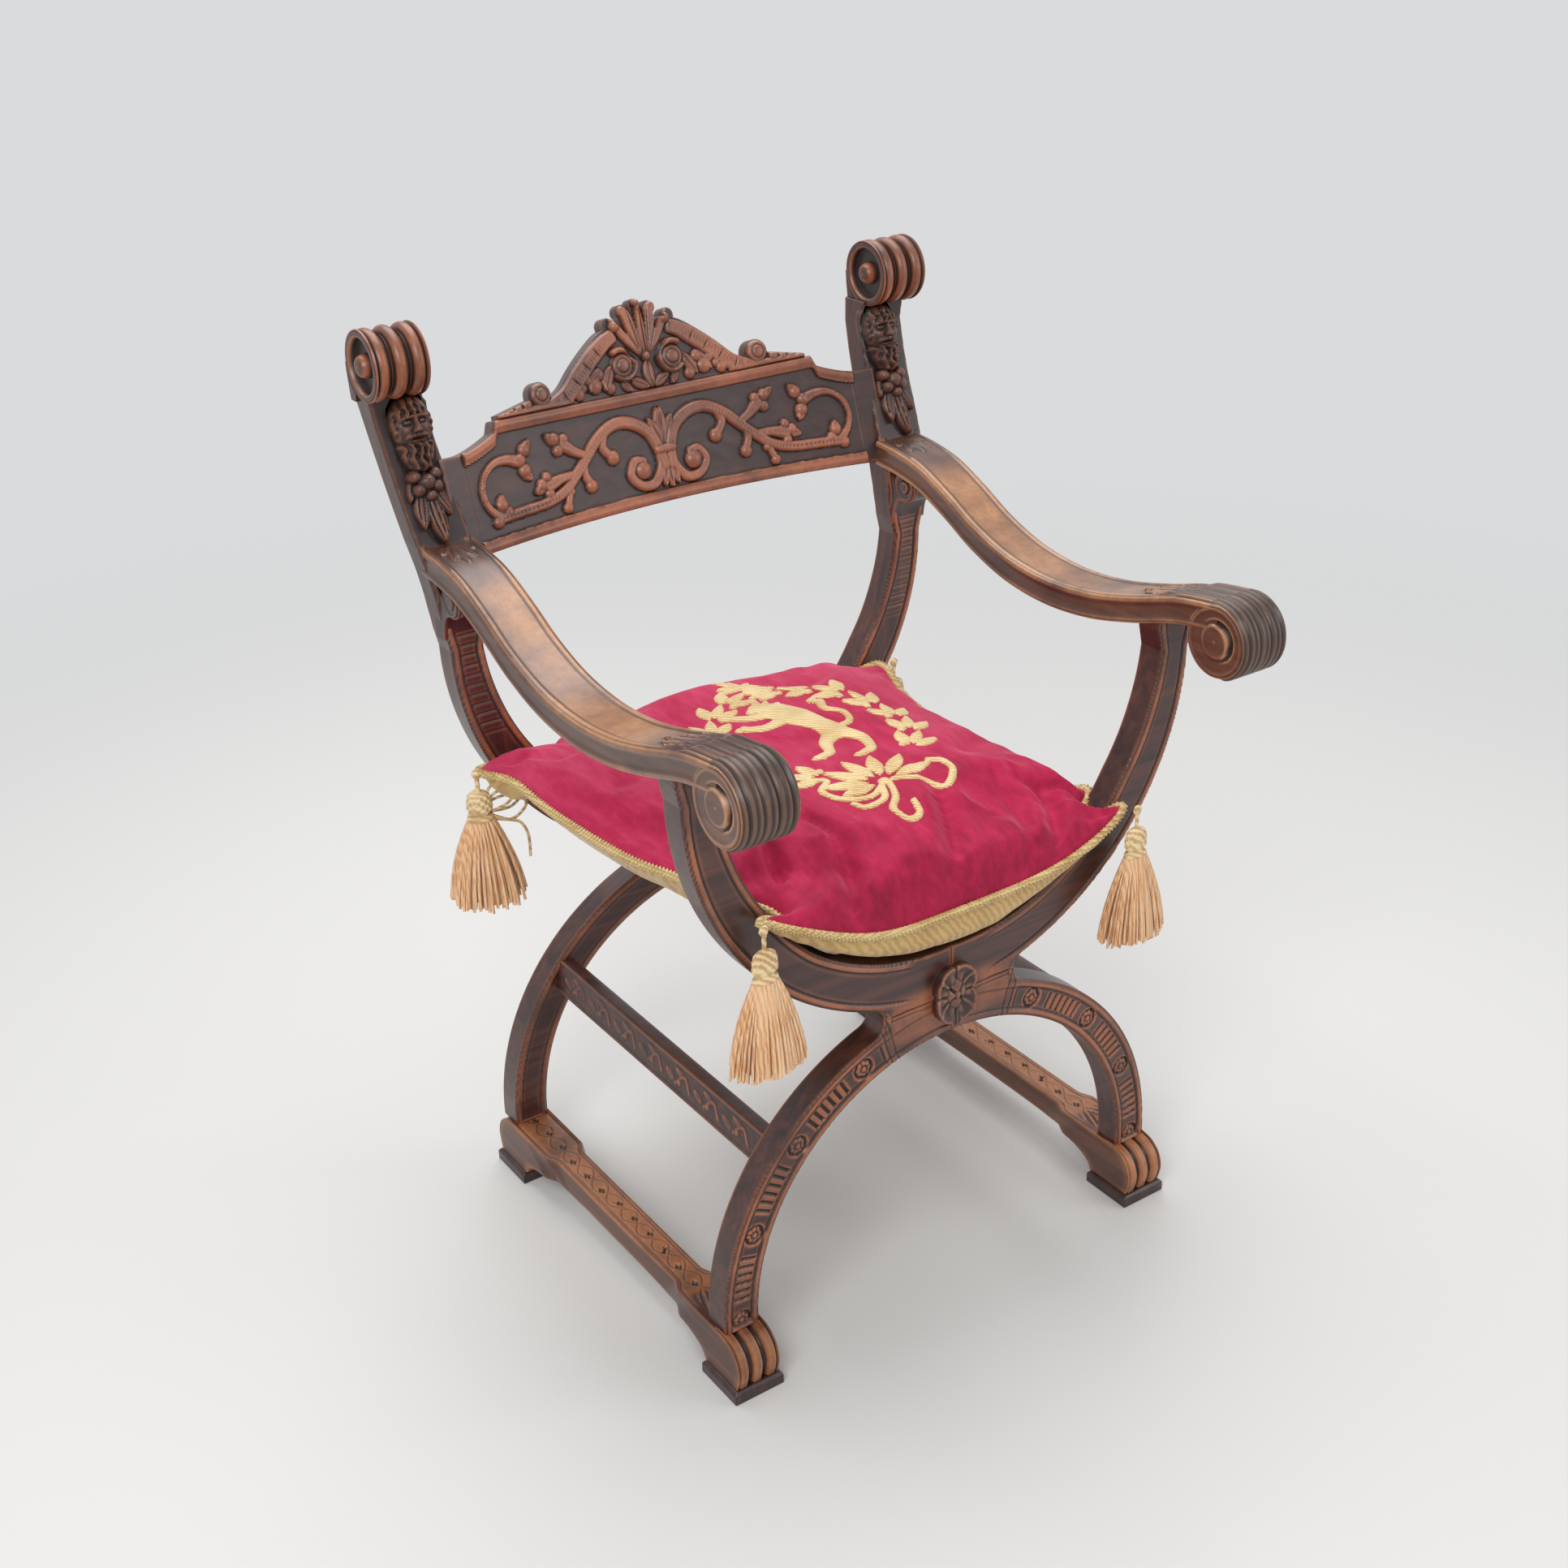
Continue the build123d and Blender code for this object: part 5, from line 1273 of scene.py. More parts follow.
# ---- runners, stretchers, rosette
@dataclass
class Base:
    """The sledge runners, their pads, the side stretchers and the rosette."""

    foot_x: float = 252.5

    def runner(self, side: int, material: Material) -> Piece:
        """One runner: reeded toes, blocks under the legs and a waisted arched middle."""
        half_top = curve_through([(-240, 14.4), (-243.6, 26), (-244.6, 38), (-240, 51), (-230, 60), (-218, 63.6),
                                  (-205, 64)], 8)
        upper = np.vstack([half_top, np.stack([np.linspace(-203, 0, 107), np.full(107, 64)], 1)])
        lower = curve_through([(-183, 14.4), (-176, 24), (-153, 32.5), (-120, 35.5), (-60, 37), (0, 37)], 16)
        t = np.linspace(0, 1, len(upper))
        lower = picked(lower, t)
        steps = travelled(lower)
        lower = picked(lower, np.interp(t, (0, 0.30, 1), (0, 0.16, 1)) * steps[-1], steps)
        upper, lower = (np.vstack([half, half[-2::-1] * [-1, 1]]) for half in (upper, lower))

        def line(points: np.ndarray, sign: int) -> np.ndarray:
            """One corner line of the runner, which is wider over the toes."""
            half_width = 16.5 + 7.5 * ease(118, 139, abs(points[:, 0]))
            return np.stack([self.foot_x * side + sign * half_width, points[:, 0], points[:, 1]], 1)

        total = float(np.hypot(*np.diff(upper, axis=0).T).sum())

        def top(along: Grid, across: Grid, width: Grid) -> Grid:
            """Deep reeds on the toes, leaves by the legs and a plain band with cut notches between."""
            end_gap = np.minimum(along, total - along)
            pitch = width / 3
            reed = -6.0 * ease(0.18, 0.47, abs((across % pitch) / pitch - 0.5))
            toe = ease(58, 50, end_gap)
            middle = across - width / 2
            notch = abs((along + 6) % 27 - 13.5)
            cut = -2.4 * ease(1, 0.6, notch / 5.5 + abs(middle - 2 * np.sign(np.sin(along / 27))) / 4.5)
            leaf = -0.7 * hump(abs(middle) - 8 * abs(np.sin(along / 27 * np.pi)), 0.9)
            plain = ease(width / 2 - 5.5, width / 2 - 6.6, abs(middle)) * ease(96, 104, end_gap)
            block = ease(60, 66, end_gap) * ease(104, 96, end_gap)
            veins = np.cos(abs(middle) * 0.9 + end_gap * 0.35) * ease(15, 12, abs(middle))
            groove = -hump(abs(middle) - width / 2 + 5.4, 0.9) * ease(84, 92, end_gap)
            return reed * toe + (cut + leaf) * plain + veins * block + groove

        def rub(along: Grid, across: Grid, width: Grid) -> Grid:
            """Bright between the notches and on the reeds."""
            end_gap = np.minimum(along, total - along)
            return (0.8 * ease(96, 108, end_gap) * ease(width / 2 - 2, width / 2 - 5,
                                                                      abs(across - width / 2))
                    + 0.6 * ease(56, 50, end_gap))

        member = Sweep((line(upper, -1), line(upper, 1), line(lower, 1), line(lower, -1)),
                       spacing=(1.5, 7, 8, 7), radius=1.8, relief={0: top}, rub={0: rub})
        return member.add_to(Shape()).carved(f"runner_{SIDES[side]}", material)

    def stretcher(self, side: int, material: Material) -> Piece:
        """One side rail with a low running leaf on its faces."""
        tilt = math.radians(17) * side
        c, s = math.cos(tilt), math.sin(tilt)
        ys = np.linspace(-189, 205.5, 200)
        corners = []
        for a, b in ((-10, 16.5), (10, 16.5), (10, -16.5), (-10, -16.5)):
            x, z = 197.5 * side + a * c - b * s, 234.0 + a * s + b * c
            corners.append(np.stack([np.full_like(ys, x), ys, np.full_like(ys, z)], 1))

        def face(along: Grid, across: Grid, width: Grid) -> Grid:
            """A waving stem with leaves between two fillets."""
            v = across - width / 2
            carve = Carving(along, v)
            for start in range(20, 380, 52):
                wave = curve_through([(start, -6), (start + 13, 6), (start + 26, -6)], 5)
                carve.stroke(wave, (1.5, 1.5), 1.8)
                carve.leaf((start + 13, 4), (start + 30, 9), 3.2, 2, 0.6)
                carve.leaf((start + 30, -4), (start + 46, 2), 3.6, 2, 0.6)
                carve.ball(start + 20, -3, 3.2, 2.2)
            edge = np.minimum(across, width - across)
            return 0.5 * carve.height * ease(3, 4.2, edge) + 0.8 * ease(3.4, 2, edge) - 0.8

        member = Sweep(corners, spacing=(5, 1.4, 5, 1.4), radius=1.2, relief={1: face, 3: face}, edge_wear=0.4)
        return member.add_to(Shape()).carved(f"stretcher_{SIDES[side]}", material)

    def rosette(self, material: Material) -> Piece:
        """The leafy rosette over the crossing."""
        centre = 351.0

        def polar(u: Grid, v: Grid) -> tuple[Grid, Grid]:
            """Angle and oval radius about the middle."""
            return np.arctan2(v - centre, u), np.hypot(u, (v - centre) * 0.74)

        def outline(u: Grid, v: Grid) -> Grid:
            """Edge of the rosette and the drop below it."""
            a, radius = polar(u, v)
            rim = radius - (19.5 + 6.5 * abs(np.sin(2 * a)) ** 0.45)
            drop = np.maximum(abs(u) - np.interp(v, (313, 318, 326, 336), (1.5, 7, 8, 12)), 313 - v)
            return np.minimum(rim, np.maximum(drop, v - 340))

        def relief(u: Grid, v: Grid, inside: Grid) -> Grid:
            """Two rows of petals round a domed middle."""
            a, radius = polar(u, v)
            lobe = abs(np.sin(2 * a))
            hollow = 0.5 * hump(1 - lobe, 0.3) * ease(24, 16, radius)
            petals = 6.4 * lobe**0.3 * (1 - hollow) * ease(2, 12, radius)
            veins = 1.4 * hump(1 - lobe, 0.015) * ease(8, 12, radius)
            inner = np.where(radius < 13, 7 * abs(np.cos(2 * a)) ** 0.3 * unit(1 - (radius / 13) ** 4) ** 0.5, 0)
            boss = 8.6 * dome(radius, 4.5)
            carve = Carving(u, v)
            carve.leaf((0, 338), (0, 312), 8, 5.4, 1.6)
            carve.leaf((0, 364), (0, 388), 8, 5, 1.6)
            curl = 1.4 * ease(6, 0, inside)
            return highest(petals + veins + curl, np.maximum(inner, boss), carve.height) - 1.0

        board = Slab(outline, upright(-222), upright(-216), relief, (-32, 32, 312, 391), step=0.8, round_over=1.5)
        return board.add_to(Shape()).carved("front_rosette", material)

    def make(self, finishes: Finishes) -> None:
        """Make the base."""
        for side in (-1, 1):
            self.runner(side, finishes.runner)
            self.stretcher(side, finishes.across)
        for end in ("front", "back"):
            for side in ("left", "right"):
                softened_copy(f"{end}_foot_pad_{side}", finishes.dark, 1)
        self.rosette(finishes.dark)


def softened_copy(node: str, material: Material, width: float) -> Piece:
    """Copy a node's mesh, soften its edges by a width in mm, and let the copy stand for it."""
    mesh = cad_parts[node].data.copy()
    work = bmesh.new()
    work.from_mesh(mesh)
    bmesh.ops.remove_doubles(work, verts=work.verts, dist=1e-5)
    bmesh.ops.dissolve_limit(work, angle_limit=math.radians(1), verts=work.verts, edges=work.edges)
    work.to_mesh(mesh)
    work.free()
    mesh.materials.clear()
    mesh.materials.append(material)
    piece = placed(node + "_softened", mesh)
    bevel = piece.modifiers.new("softened", "BEVEL")
    bevel.width, bevel.segments = width * MM, 3
    bevel.limit_method, bevel.angle_limit = "ANGLE", math.radians(35)
    mesh.shade_smooth()
    mesh.set_sharp_from_angle(angle=math.radians(35))
    return stand_in(piece, node)


# ---- the loose cushion
def plan_distance(u: Grid, v: Grid, outline: np.ndarray) -> Grid:
    """Signed distance in plan to a closed outline, negative inside."""
    best = np.full(u.shape, 1e9)
    inside = np.zeros(u.shape, bool)
    for a, b in zip(outline, np.roll(outline, -1, axis=0)):
        d = b - a
        t = unit(((u - a[0]) * d[0] + (v - a[1]) * d[1]) / max(float(d @ d), 1e-9))
        best = np.minimum(best, (u - a[0] - t * d[0]) ** 2 + (v - a[1] - t * d[1]) ** 2)
        crosses = (a[1] > v) != (b[1] > v)
        inside ^= crosses & (u < (b[0] - a[0]) * (v - a[1]) / (b[1] - a[1] + 1e-12) + a[0])
    return np.where(inside, -1, 1) * np.sqrt(best)


@dataclass
class Cushion:
    """The stuffed velvet cushion that lies in the bowl, with its corded seam and embroidered device."""

    crown: float = 520.0
    cap: float = 12.0
    corners: Points = (
        (0, -238), (120, -237), (180, -235), (205, -231), (206, -224), (192, -218), (183, -204), (190, -190),
        (203, -181), (204, -160), (199, -100), (199, 0), (207, 90), (217, 150), (225, 184), (216, 199),
        (190, 206), (183, 218), (176, 229), (120, 230), (0, 230), (-120, 230), (-178, 229), (-184, 218),
        (-194, 206), (-245, 200), (-278, 194), (-283, 184), (-268, 110), (-264, 30), (-254, -60),
        (-236, -120), (-234, -176), (-212, -185),
        (-189, -192), (-184, -204), (-192, -218), (-214, -223), (-229, -228), (-224, -235), (-190, -236),
        (-120, -237))

    def outline(self) -> np.ndarray:
        """Plan of the seam, as a smooth closed line."""
        line = curve_through([self.corners[-1], *self.corners, *self.corners[:2]], 6)
        return line[6:-6 - 1]

    def seam_height(self, u: Grid, v: Grid) -> Grid:
        """Height of the seam over a point of its plan."""
        front = np.interp(u, (-285, -254, -222, -181, -141, -95, 80, 131, 172, 209, 230),
                          (511, 509, 511, 489, 471, 454, 454, 461, 474, 491, 498))
        lift = 34 * ease(90, 215, v) * ease(190, 120, abs(u))
        sag = 14 * ease(165, 195, u) * ease(-180, -140, v) * ease(172, 130, v)
        ear = 13 * hump(v - 138, 24) * ease(-215, -245, u)
        return front + lift - sag + ear

    def bed(self, u: Grid) -> Grid:
        """Height of the seat under the cushion."""
        x = np.minimum(abs(u), 215)
        width = np.interp(np.degrees(np.arcsin(x / 262)), (0, 20, 40, 60), (54, 49, 45, 46))
        return 637 - np.sqrt(np.maximum((291 - width) ** 2 - x**2, 0)) + 1.4

    def top(self, u: Grid, v: Grid) -> np.ndarray:
        """Upper surface."""
        share = unit(-plan_distance(u, v, self.outline()) / np.interp(u, (-60, 120), (62, 105)))
        seam = self.seam_height(u, v)
        slope = 12 * ease(60, 200, u) + 14 * ease(110, 200, u) * ease(90, 190, v)
        swell = 9 * ease(40, 130, v) * ease(216, 170, v) * ease(150, 60, u)
        z = seam + (self.crown + swell - slope - seam) * np.sqrt(1 - (1 - share) ** 2) + 1.0
        return np.stack([u, v, z], -1)

    def under(self, u: Grid, v: Grid) -> np.ndarray:
        """Lower surface, lying in the bowl and hanging a little below the seam at the sides."""
        share = unit(-plan_distance(u, v, self.outline()) / 34)
        seam = self.seam_height(u, v)
        bed = np.minimum(self.bed(u), seam - 24)
        return np.stack([u, v, seam - (seam - bed) * np.sqrt(1 - (1 - share) ** 2) - 1], -1)

    def body(self, finishes: Finishes) -> Piece:
        """Sew and stuff the case: a closed shell, blown up as cloth and pressed back into its seat."""
        line = self.outline()
        bag = Slab(lambda u, v: plan_distance(u, v, line), self.top, self.under, lambda u, v, inside: 0 * u,
                   (-292, 234, -244, 238), step=6, round_over=0.01)
        shape = bag.add_to(Shape())
        piece = shape.build("cushion_case", finishes.velvet, 180)
        remesh = piece.modifiers.new("even", "REMESH")
        remesh.mode = "VOXEL"
        remesh.voxel_size = 0.0055
        self.apply(piece)
        start = self.places(piece)
        self.inflate(piece)
        end = self.places(piece)
        move = end - start
        size = np.linalg.norm(move, axis=1, keepdims=True)
        inward = -plan_distance(start[:, :1], start[:, 1:2], line)
        cap = self.cap * (0.12 + 0.88 * ease(6, 34, inward))
        end = start + move * np.minimum(1, cap / np.maximum(size, 1e-6))
        self.press(end)
        self.move_to(piece, end)
        smooth = piece.modifiers.new("smooth", "SUBSURF")
        smooth.levels = smooth.render_levels = 1
        self.apply(piece)
        self.crease(piece)
        mesh = piece.data
        while len(mesh.materials) < 2:
            mesh.materials.append(finishes.lining)
        centres = np.zeros(len(mesh.polygons) * 3)
        mesh.polygons.foreach_get("center", centres)
        centres = centres.reshape(-1, 3) / MM
        below = centres[:, 2] < self.seam_height(centres[:, 0], centres[:, 1]) - 1.0
        mesh.polygons.foreach_set("material_index", below.astype(int))
        mesh.shade_smooth()
        mesh.update()
        return piece

    @staticmethod
    def apply(piece: Piece) -> None:
        """Replace a piece's mesh by its modified one."""
        graph = bpy.context.evaluated_depsgraph_get()
        fresh = bpy.data.meshes.new_from_object(piece.evaluated_get(graph))
        piece.modifiers.clear()
        old = piece.data
        piece.data = fresh
        bpy.data.meshes.remove(old)

    @staticmethod
    def places(piece: Piece) -> np.ndarray:
        """Vertex places in mm."""
        flat = np.zeros(len(piece.data.vertices) * 3)
        piece.data.vertices.foreach_get("co", flat)
        return flat.reshape(-1, 3) / MM

    @staticmethod
    def move_to(piece: Piece, points: np.ndarray) -> None:
        """Move the vertices to places in mm."""
        piece.data.vertices.foreach_set("co", (points * MM).astype(np.float32).ravel())
        piece.data.update()

    def inflate(self, piece: Piece) -> None:
        """Blow the case up as cloth, without weight, over twenty frames."""
        cloth = piece.modifiers.new("stuffing", "CLOTH")
        for name, value in {"quality": 5, "mass": 0.3, "tension_stiffness": 25, "compression_stiffness": 25,
                            "shear_stiffness": 12, "bending_stiffness": 0.4, "use_pressure": True,
                            "uniform_pressure_force": 4, "shrink_min": -0.05}.items():
            setattr(cloth.settings, name, value)
        cloth.settings.effector_weights.gravity = 0
        cloth.point_cache.frame_start, cloth.point_cache.frame_end = 1, 20
        for number in range(1, 21):
            bpy.context.scene.frame_set(number)
        self.apply(piece)
        bpy.context.scene.frame_set(1)

    def press(self, points: np.ndarray) -> None:
        """Press the stuffed case back against the seat, the uprights and its own height."""
        x, y, z = points[:, 0], points[:, 1], points[:, 2]
        between = (y > -190) & (y < 206)
        bed = self.bed(x)
        low = (abs(x) < np.where(between, 176, 214)) & (y > -219) & (y < 236)
        points[low, 2] = np.maximum(z[low], bed[low])
        points[:, 2] = np.minimum(points[:, 2], 533)
        z = points[:, 2]
        inner = np.sqrt(np.maximum(243**2 - (637 - np.minimum(z, 637)) ** 2, 0)) - 3
        for y0, y1 in ((-219, -186), (202.5, 235)):
            near = (y > y0) & (y < y1)
            points[near, 0] = np.clip(x[near], -inner[near], inner[near])
        points[:, 1] = np.clip(points[:, 1], -243, 235)
        points[between, 0] = np.clip(points[between, 0], -290, 233)

    def crease(self, piece: Piece) -> None:
        """Fine pulls that run in from the seam, deepest at the corners and the front edge."""
        points = self.places(piece)
        x, y = points[:, 0], points[:, 1]
        inward = np.clip(-plan_distance(x, y, self.outline()), 0, 200)
        top = points[:, 2] > self.seam_height(x, y) + 2
        rng = np.random.default_rng(7)
        pull = np.zeros_like(x)
        for cx, cy, reach, number, size in ((205, -228, 150, 7, 3), (-226, -228, 120, 6, 2.4),
                                            (-281, 190, 110, 5, 2), (226, 186, 110, 5, 2)):
            gap = np.hypot(x - cx, y - cy)
            angle = np.arctan2(y - cy, x - cx)
            wave = np.cos(angle * number * 2 + 1.2 * np.sin(gap / 40) + rng.random() * 6)
            pull += size * wave * ease(reach, 15, gap) * ease(2, 16, gap)
        wave = np.cos(x / 11 + 1.6 * np.sin(x / 37) + 0.5 * np.sin(y / 23)) ** 3
        pull += 1.4 * wave * ease(46, 12, inward) * ease(1, 12, inward) * ease(-120, -190, y)
        for line, depth, width in (([(155, -140), (143, -190), (112, -236)], 10, 9),
                                   ([(118, -150), (104, -190), (84, -238)], 5, 9),
                                   ([(52, -110), (22, -185), (-14, -238)], 9, 10),
                                   ([(-112, -82), (-94, -150), (-106, -200), (-128, -236)], 10, 9),
                                   ([(-166, -90), (-158, -130), (-163, -170)], 7, 7),
                                   ([(176, -60), (150, -66), (120, -90)], 3.5, 12),
                                   ([(-250, 60), (-200, 40), (-150, 60)], 3.5, 13),
                                   ([(150, 200), (120, 160), (90, 150)], 3.5, 13)):
            path = curve_through(line, 8)
            gap = np.min([np.hypot(x - px, y - py) for px, py in path], axis=0)
            ends = np.hypot(x - line[0][0], y - line[0][1])
            cut = hump(gap, width) - 0.45 * hump(gap - 2.1 * width, width)
            pull -= depth * cut * ease(4, 42, ends) * ease(0, 10, inward)
        soft = np.sin(x / 34 + 1.3 * np.sin(y / 51)) * np.sin(y / 41 + 0.9 * np.sin(x / 63))
        pull += 1.6 * soft * ease(10, 60, inward)
        points[top, 2] += np.minimum(pull[top], 534 - points[top, 2])
        self.move_to(piece, points)

    @staticmethod
    def surface_of(piece: Piece) -> BVHTree:
        """The surface of a finished piece, for finding places on it."""
        work = bmesh.new()
        work.from_mesh(piece.data)
        tree = BVHTree.FromBMesh(work)
        work.free()
        return tree

    def seam_path(self, piece: Piece) -> np.ndarray:
        """The line of the seam, lying on the finished case."""
        line, tree, out = self.outline(), self.surface_of(piece), []
        for x, y, height in zip(*line.T, self.seam_height(*line.T)):
            spot, normal, _, _ = tree.find_nearest(Vector((x, y, height)) * MM)
            out.append([*((spot + normal * 0.0026) / MM)])
        path = np.array(out)
        for _ in range(3):
            path = (np.roll(path, 1, axis=0) + 2 * path + np.roll(path, -1, axis=0)) / 4
        return path

    @staticmethod
    def stitches(carve: Carving) -> None:
        """Lay out the embroidery: a wreath tied with a ribbon, a crest over it and a rearing beast within."""
        for index in range(15):
            turn = math.radians(-50 + index * 20.3)
            x, y = 12 + 96 * math.cos(turn), 25 + 113 * math.sin(turn)
            ahead = turn + (math.pi / 2 if math.cos(turn) > 0 else -math.pi / 2)
            for lean, length, width in ((0.75, 33, 8.2), (-0.7, 31, 7.8), (0.02, 36, 6.4)):
                near = (x + 5 * math.cos(ahead + 1.6 * lean), y + 5 * math.sin(ahead + 1.6 * lean))
                carve.leaf(near, (x + length * math.cos(ahead + lean), y + length * math.sin(ahead + lean)),
                           width, 3, 1, blunt=0.85)
            carve.ball(x - 10 * math.cos(turn), y - 10 * math.sin(turn), 4.2, 3)
        for x, y in ((-56, -88), (-38, -64), (-10, -56), (20, -60), (48, -74), (64, -102), (-50, -112)):
            carve.leaf((0.26 * x, -112 + 0.26 * (y + 112)), (x, y), 8.6, 3.2, 1.2, blunt=0.85)
        carve.ball(0, -112, 6.5, 3.6)
        for line in (((0, -112), (-28, -128), (-54, -116), (-60, -92), (-44, -78), (-58, -66)),
                     ((4, -114), (-8, -140), (-26, -160), (-20, -176), (-4, -172), (0, -158)),
                     ((10, -112), (36, -128), (50, -144), (70, -130), (74, -108), (64, -98)),
                     ((-6, -116), (-20, -138), (-44, -142), (-50, -130))):
            carve.stroke(curve_through(line, 6), (3, 3.8, 3.2), 2.8, 0.5)
        limbs = (([(8, 86), (17, 62), (24, 40)], (19, 20, 15)), ([(24, 40), (28, 24), (28, 8)], (14, 14, 16)),
                 ([(6, 82), (-20, 84), (-36, 95)], (9, 6.4, 5.2)), ([(4, 62), (-22, 57), (-40, 66)], (9, 6.4, 5.2)),
                 ([(24, 6), (6, -8), (-4, -28), (-17, -32)], (11, 7.6, 5.6, 5.2)),
                 ([(34, 4), (43, -18), (37, -42), (26, -47)], (11, 7.6, 5.6, 5.2)),
                 ([(36, 14), (56, 20), (64, 42), (54, 60), (60, 78)], (4.4, 3.6, 3.6, 5.4)))
        for line, widths in limbs:
            carve.stroke(curve_through(line, 5), widths, 3.2, 0)
        for x, y, radius in ((-2, 100, 12), (-13, 97, 6), (-37, 96, 5), (-41, 69, 5), (-16, -33, 5), (22, -49, 5),
                             (54, 84, 6)):
            carve.ball(x, y, radius, 3.4)
        for root, tip in (((4, 98), (15, 113)), ((8, 94), (23, 99)), ((10, 88), (27, 84)), ((0, 106), (6, 122)),
                          ((50, 80), (62, 92)), ((-36, 96), (-48, 101)), ((-41, 70), (-52, 68)),
                          ((-15, -33), (-28, -32)), ((23, -49), (10, -50))):
            carve.leaf(root, tip, 4.4, 3, 0.5, blunt=0.8)
        # the small crest beyond the wreath
        for root, tip, width in (((18, 158), (18, 192), 6), ((18, 160), (-4, 184), 5.5), ((18, 160), (40, 184), 5.5),
                                 ((18, 160), (-12, 166), 5.5), ((18, 160), (48, 166), 5.5)):
            carve.leaf(root, tip, width, 2.8, 0.8, blunt=0.8)
        carve.stroke([(-14, 156), (50, 156)], (3, 3), 2.8)

    def device(self, piece: Piece, finishes: Finishes) -> Piece:
        """The raised gold embroidery, laid on the finished case."""
        tree = self.surface_of(piece)
        us, vs = np.arange(-112, 136, 2.0), np.arange(-186, 204, 2.0)
        level = np.zeros((len(us), len(vs)))
        for i, x in enumerate(us):
            for j, y in enumerate(vs):
                spot = tree.ray_cast(Vector((x, y, 600)) * MM, Vector((0, 0, -1)))[0]
                level[i, j] = spot.z / MM if spot else 500.0

        def carving(u: Grid, v: Grid) -> Grid:
            """Height of the threads."""
            carve = Carving(u, v)
            self.stitches(carve)
            return carve.height

        def top(u: Grid, v: Grid) -> np.ndarray:
            """The case under the threads."""
            i, j = np.clip((u - us[0]) / 2, 0, len(us) - 1.001), np.clip((v - vs[0]) / 2, 0, len(vs) - 1.001)
            i0, j0 = i.astype(int), j.astype(int)
            fi, fj = i - i0, j - j0
            z = ((1 - fi) * (1 - fj) * level[i0, j0] + fi * (1 - fj) * level[i0 + 1, j0]
                 + (1 - fi) * fj * level[i0, j0 + 1] + fi * fj * level[i0 + 1, j0 + 1])
            return np.stack([u, v, z + 0.5], -1)

        threads = Slab(lambda u, v: 0.8 - carving(u, v), top, lambda u, v: top(u, v) - [0, 0, 2.5],
                       lambda u, v, inside: carving(u, v) * 0.8, (-110, 134, -184, 202), step=1.3,
                       round_over=0.2)
        return threads.add_to(Shape()).build("cushion_device", finishes.gold_thread, 60)

    def make(self, finishes: Finishes) -> None:
        """Make the cushion, its cord and its embroidery."""
        case = self.body(finishes)
        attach(case, "cushion")
        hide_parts("cushion")
        rope = twisted_rope("cushion_cord", self.seam_path(case), 4.6, 13, finishes.gold_cord, closed=True)
        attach(rope, "cushion")
        device = self.device(case, finishes)
        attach(device, "cushion")


# ---- threads and tassels
@dataclass
class Growth:
    """A Geometry Nodes tree with named inputs, and the piece that it grows from a mesh or a curve."""

    name: str
    kinds: dict[str, str]

    def __post_init__(self) -> None:
        """Start the tree."""
        self.tree = bpy.data.node_groups.new(self.name, "GeometryNodeTree")
        self.add = partial(add_node, self.tree)
        sockets = (("Geometry", "Geometry", "INPUT"), ("Geometry", "Geometry", "OUTPUT"),
                   *((label, kind, "INPUT") for label, kind in self.kinds.items()), ("Material", "Material", "INPUT"))
        self.inputs = {}
        for label, kind, way in sockets:
            socket = self.tree.interface.new_socket(label, in_out=way, socket_type="NodeSocket" + kind)
            if way == "INPUT":
                self.inputs[label] = socket.identifier
        self.start = self.tree.nodes.new("NodeGroupInput").outputs

    def grow(self, name: str, source: bpy.types.ID, geometry: Socket, **values: object) -> Piece:
        """End the tree in Realize Instances and Set Material, run it and keep the plain mesh.

        Args:
            name: name of the piece.
            source: the mesh or curve that it grows from.
            geometry: what the tree has made.
            values: its inputs by name.

        Returns:
            The piece.
        """
        real = self.add("GeometryNodeRealizeInstances", geometry)
        self.add("NodeGroupOutput", self.add("GeometryNodeSetMaterial", {
            "Geometry": real, "Material": self.start["Material"]}))
        seed = placed(name + "_seed", source)
        modifier = seed.modifiers.new("grow", "NODES")
        modifier.node_group = self.tree
        for label, value in values.items():
            modifier[self.inputs[label]] = value
        graph = bpy.context.evaluated_depsgraph_get()
        mesh = bpy.data.meshes.new_from_object(seed.evaluated_get(graph))
        bpy.data.objects.remove(seed)
        mesh.name = name
        mesh.shade_smooth()
        LOG.info("%s: %d faces", name, len(mesh.polygons))
        return placed(name, mesh)


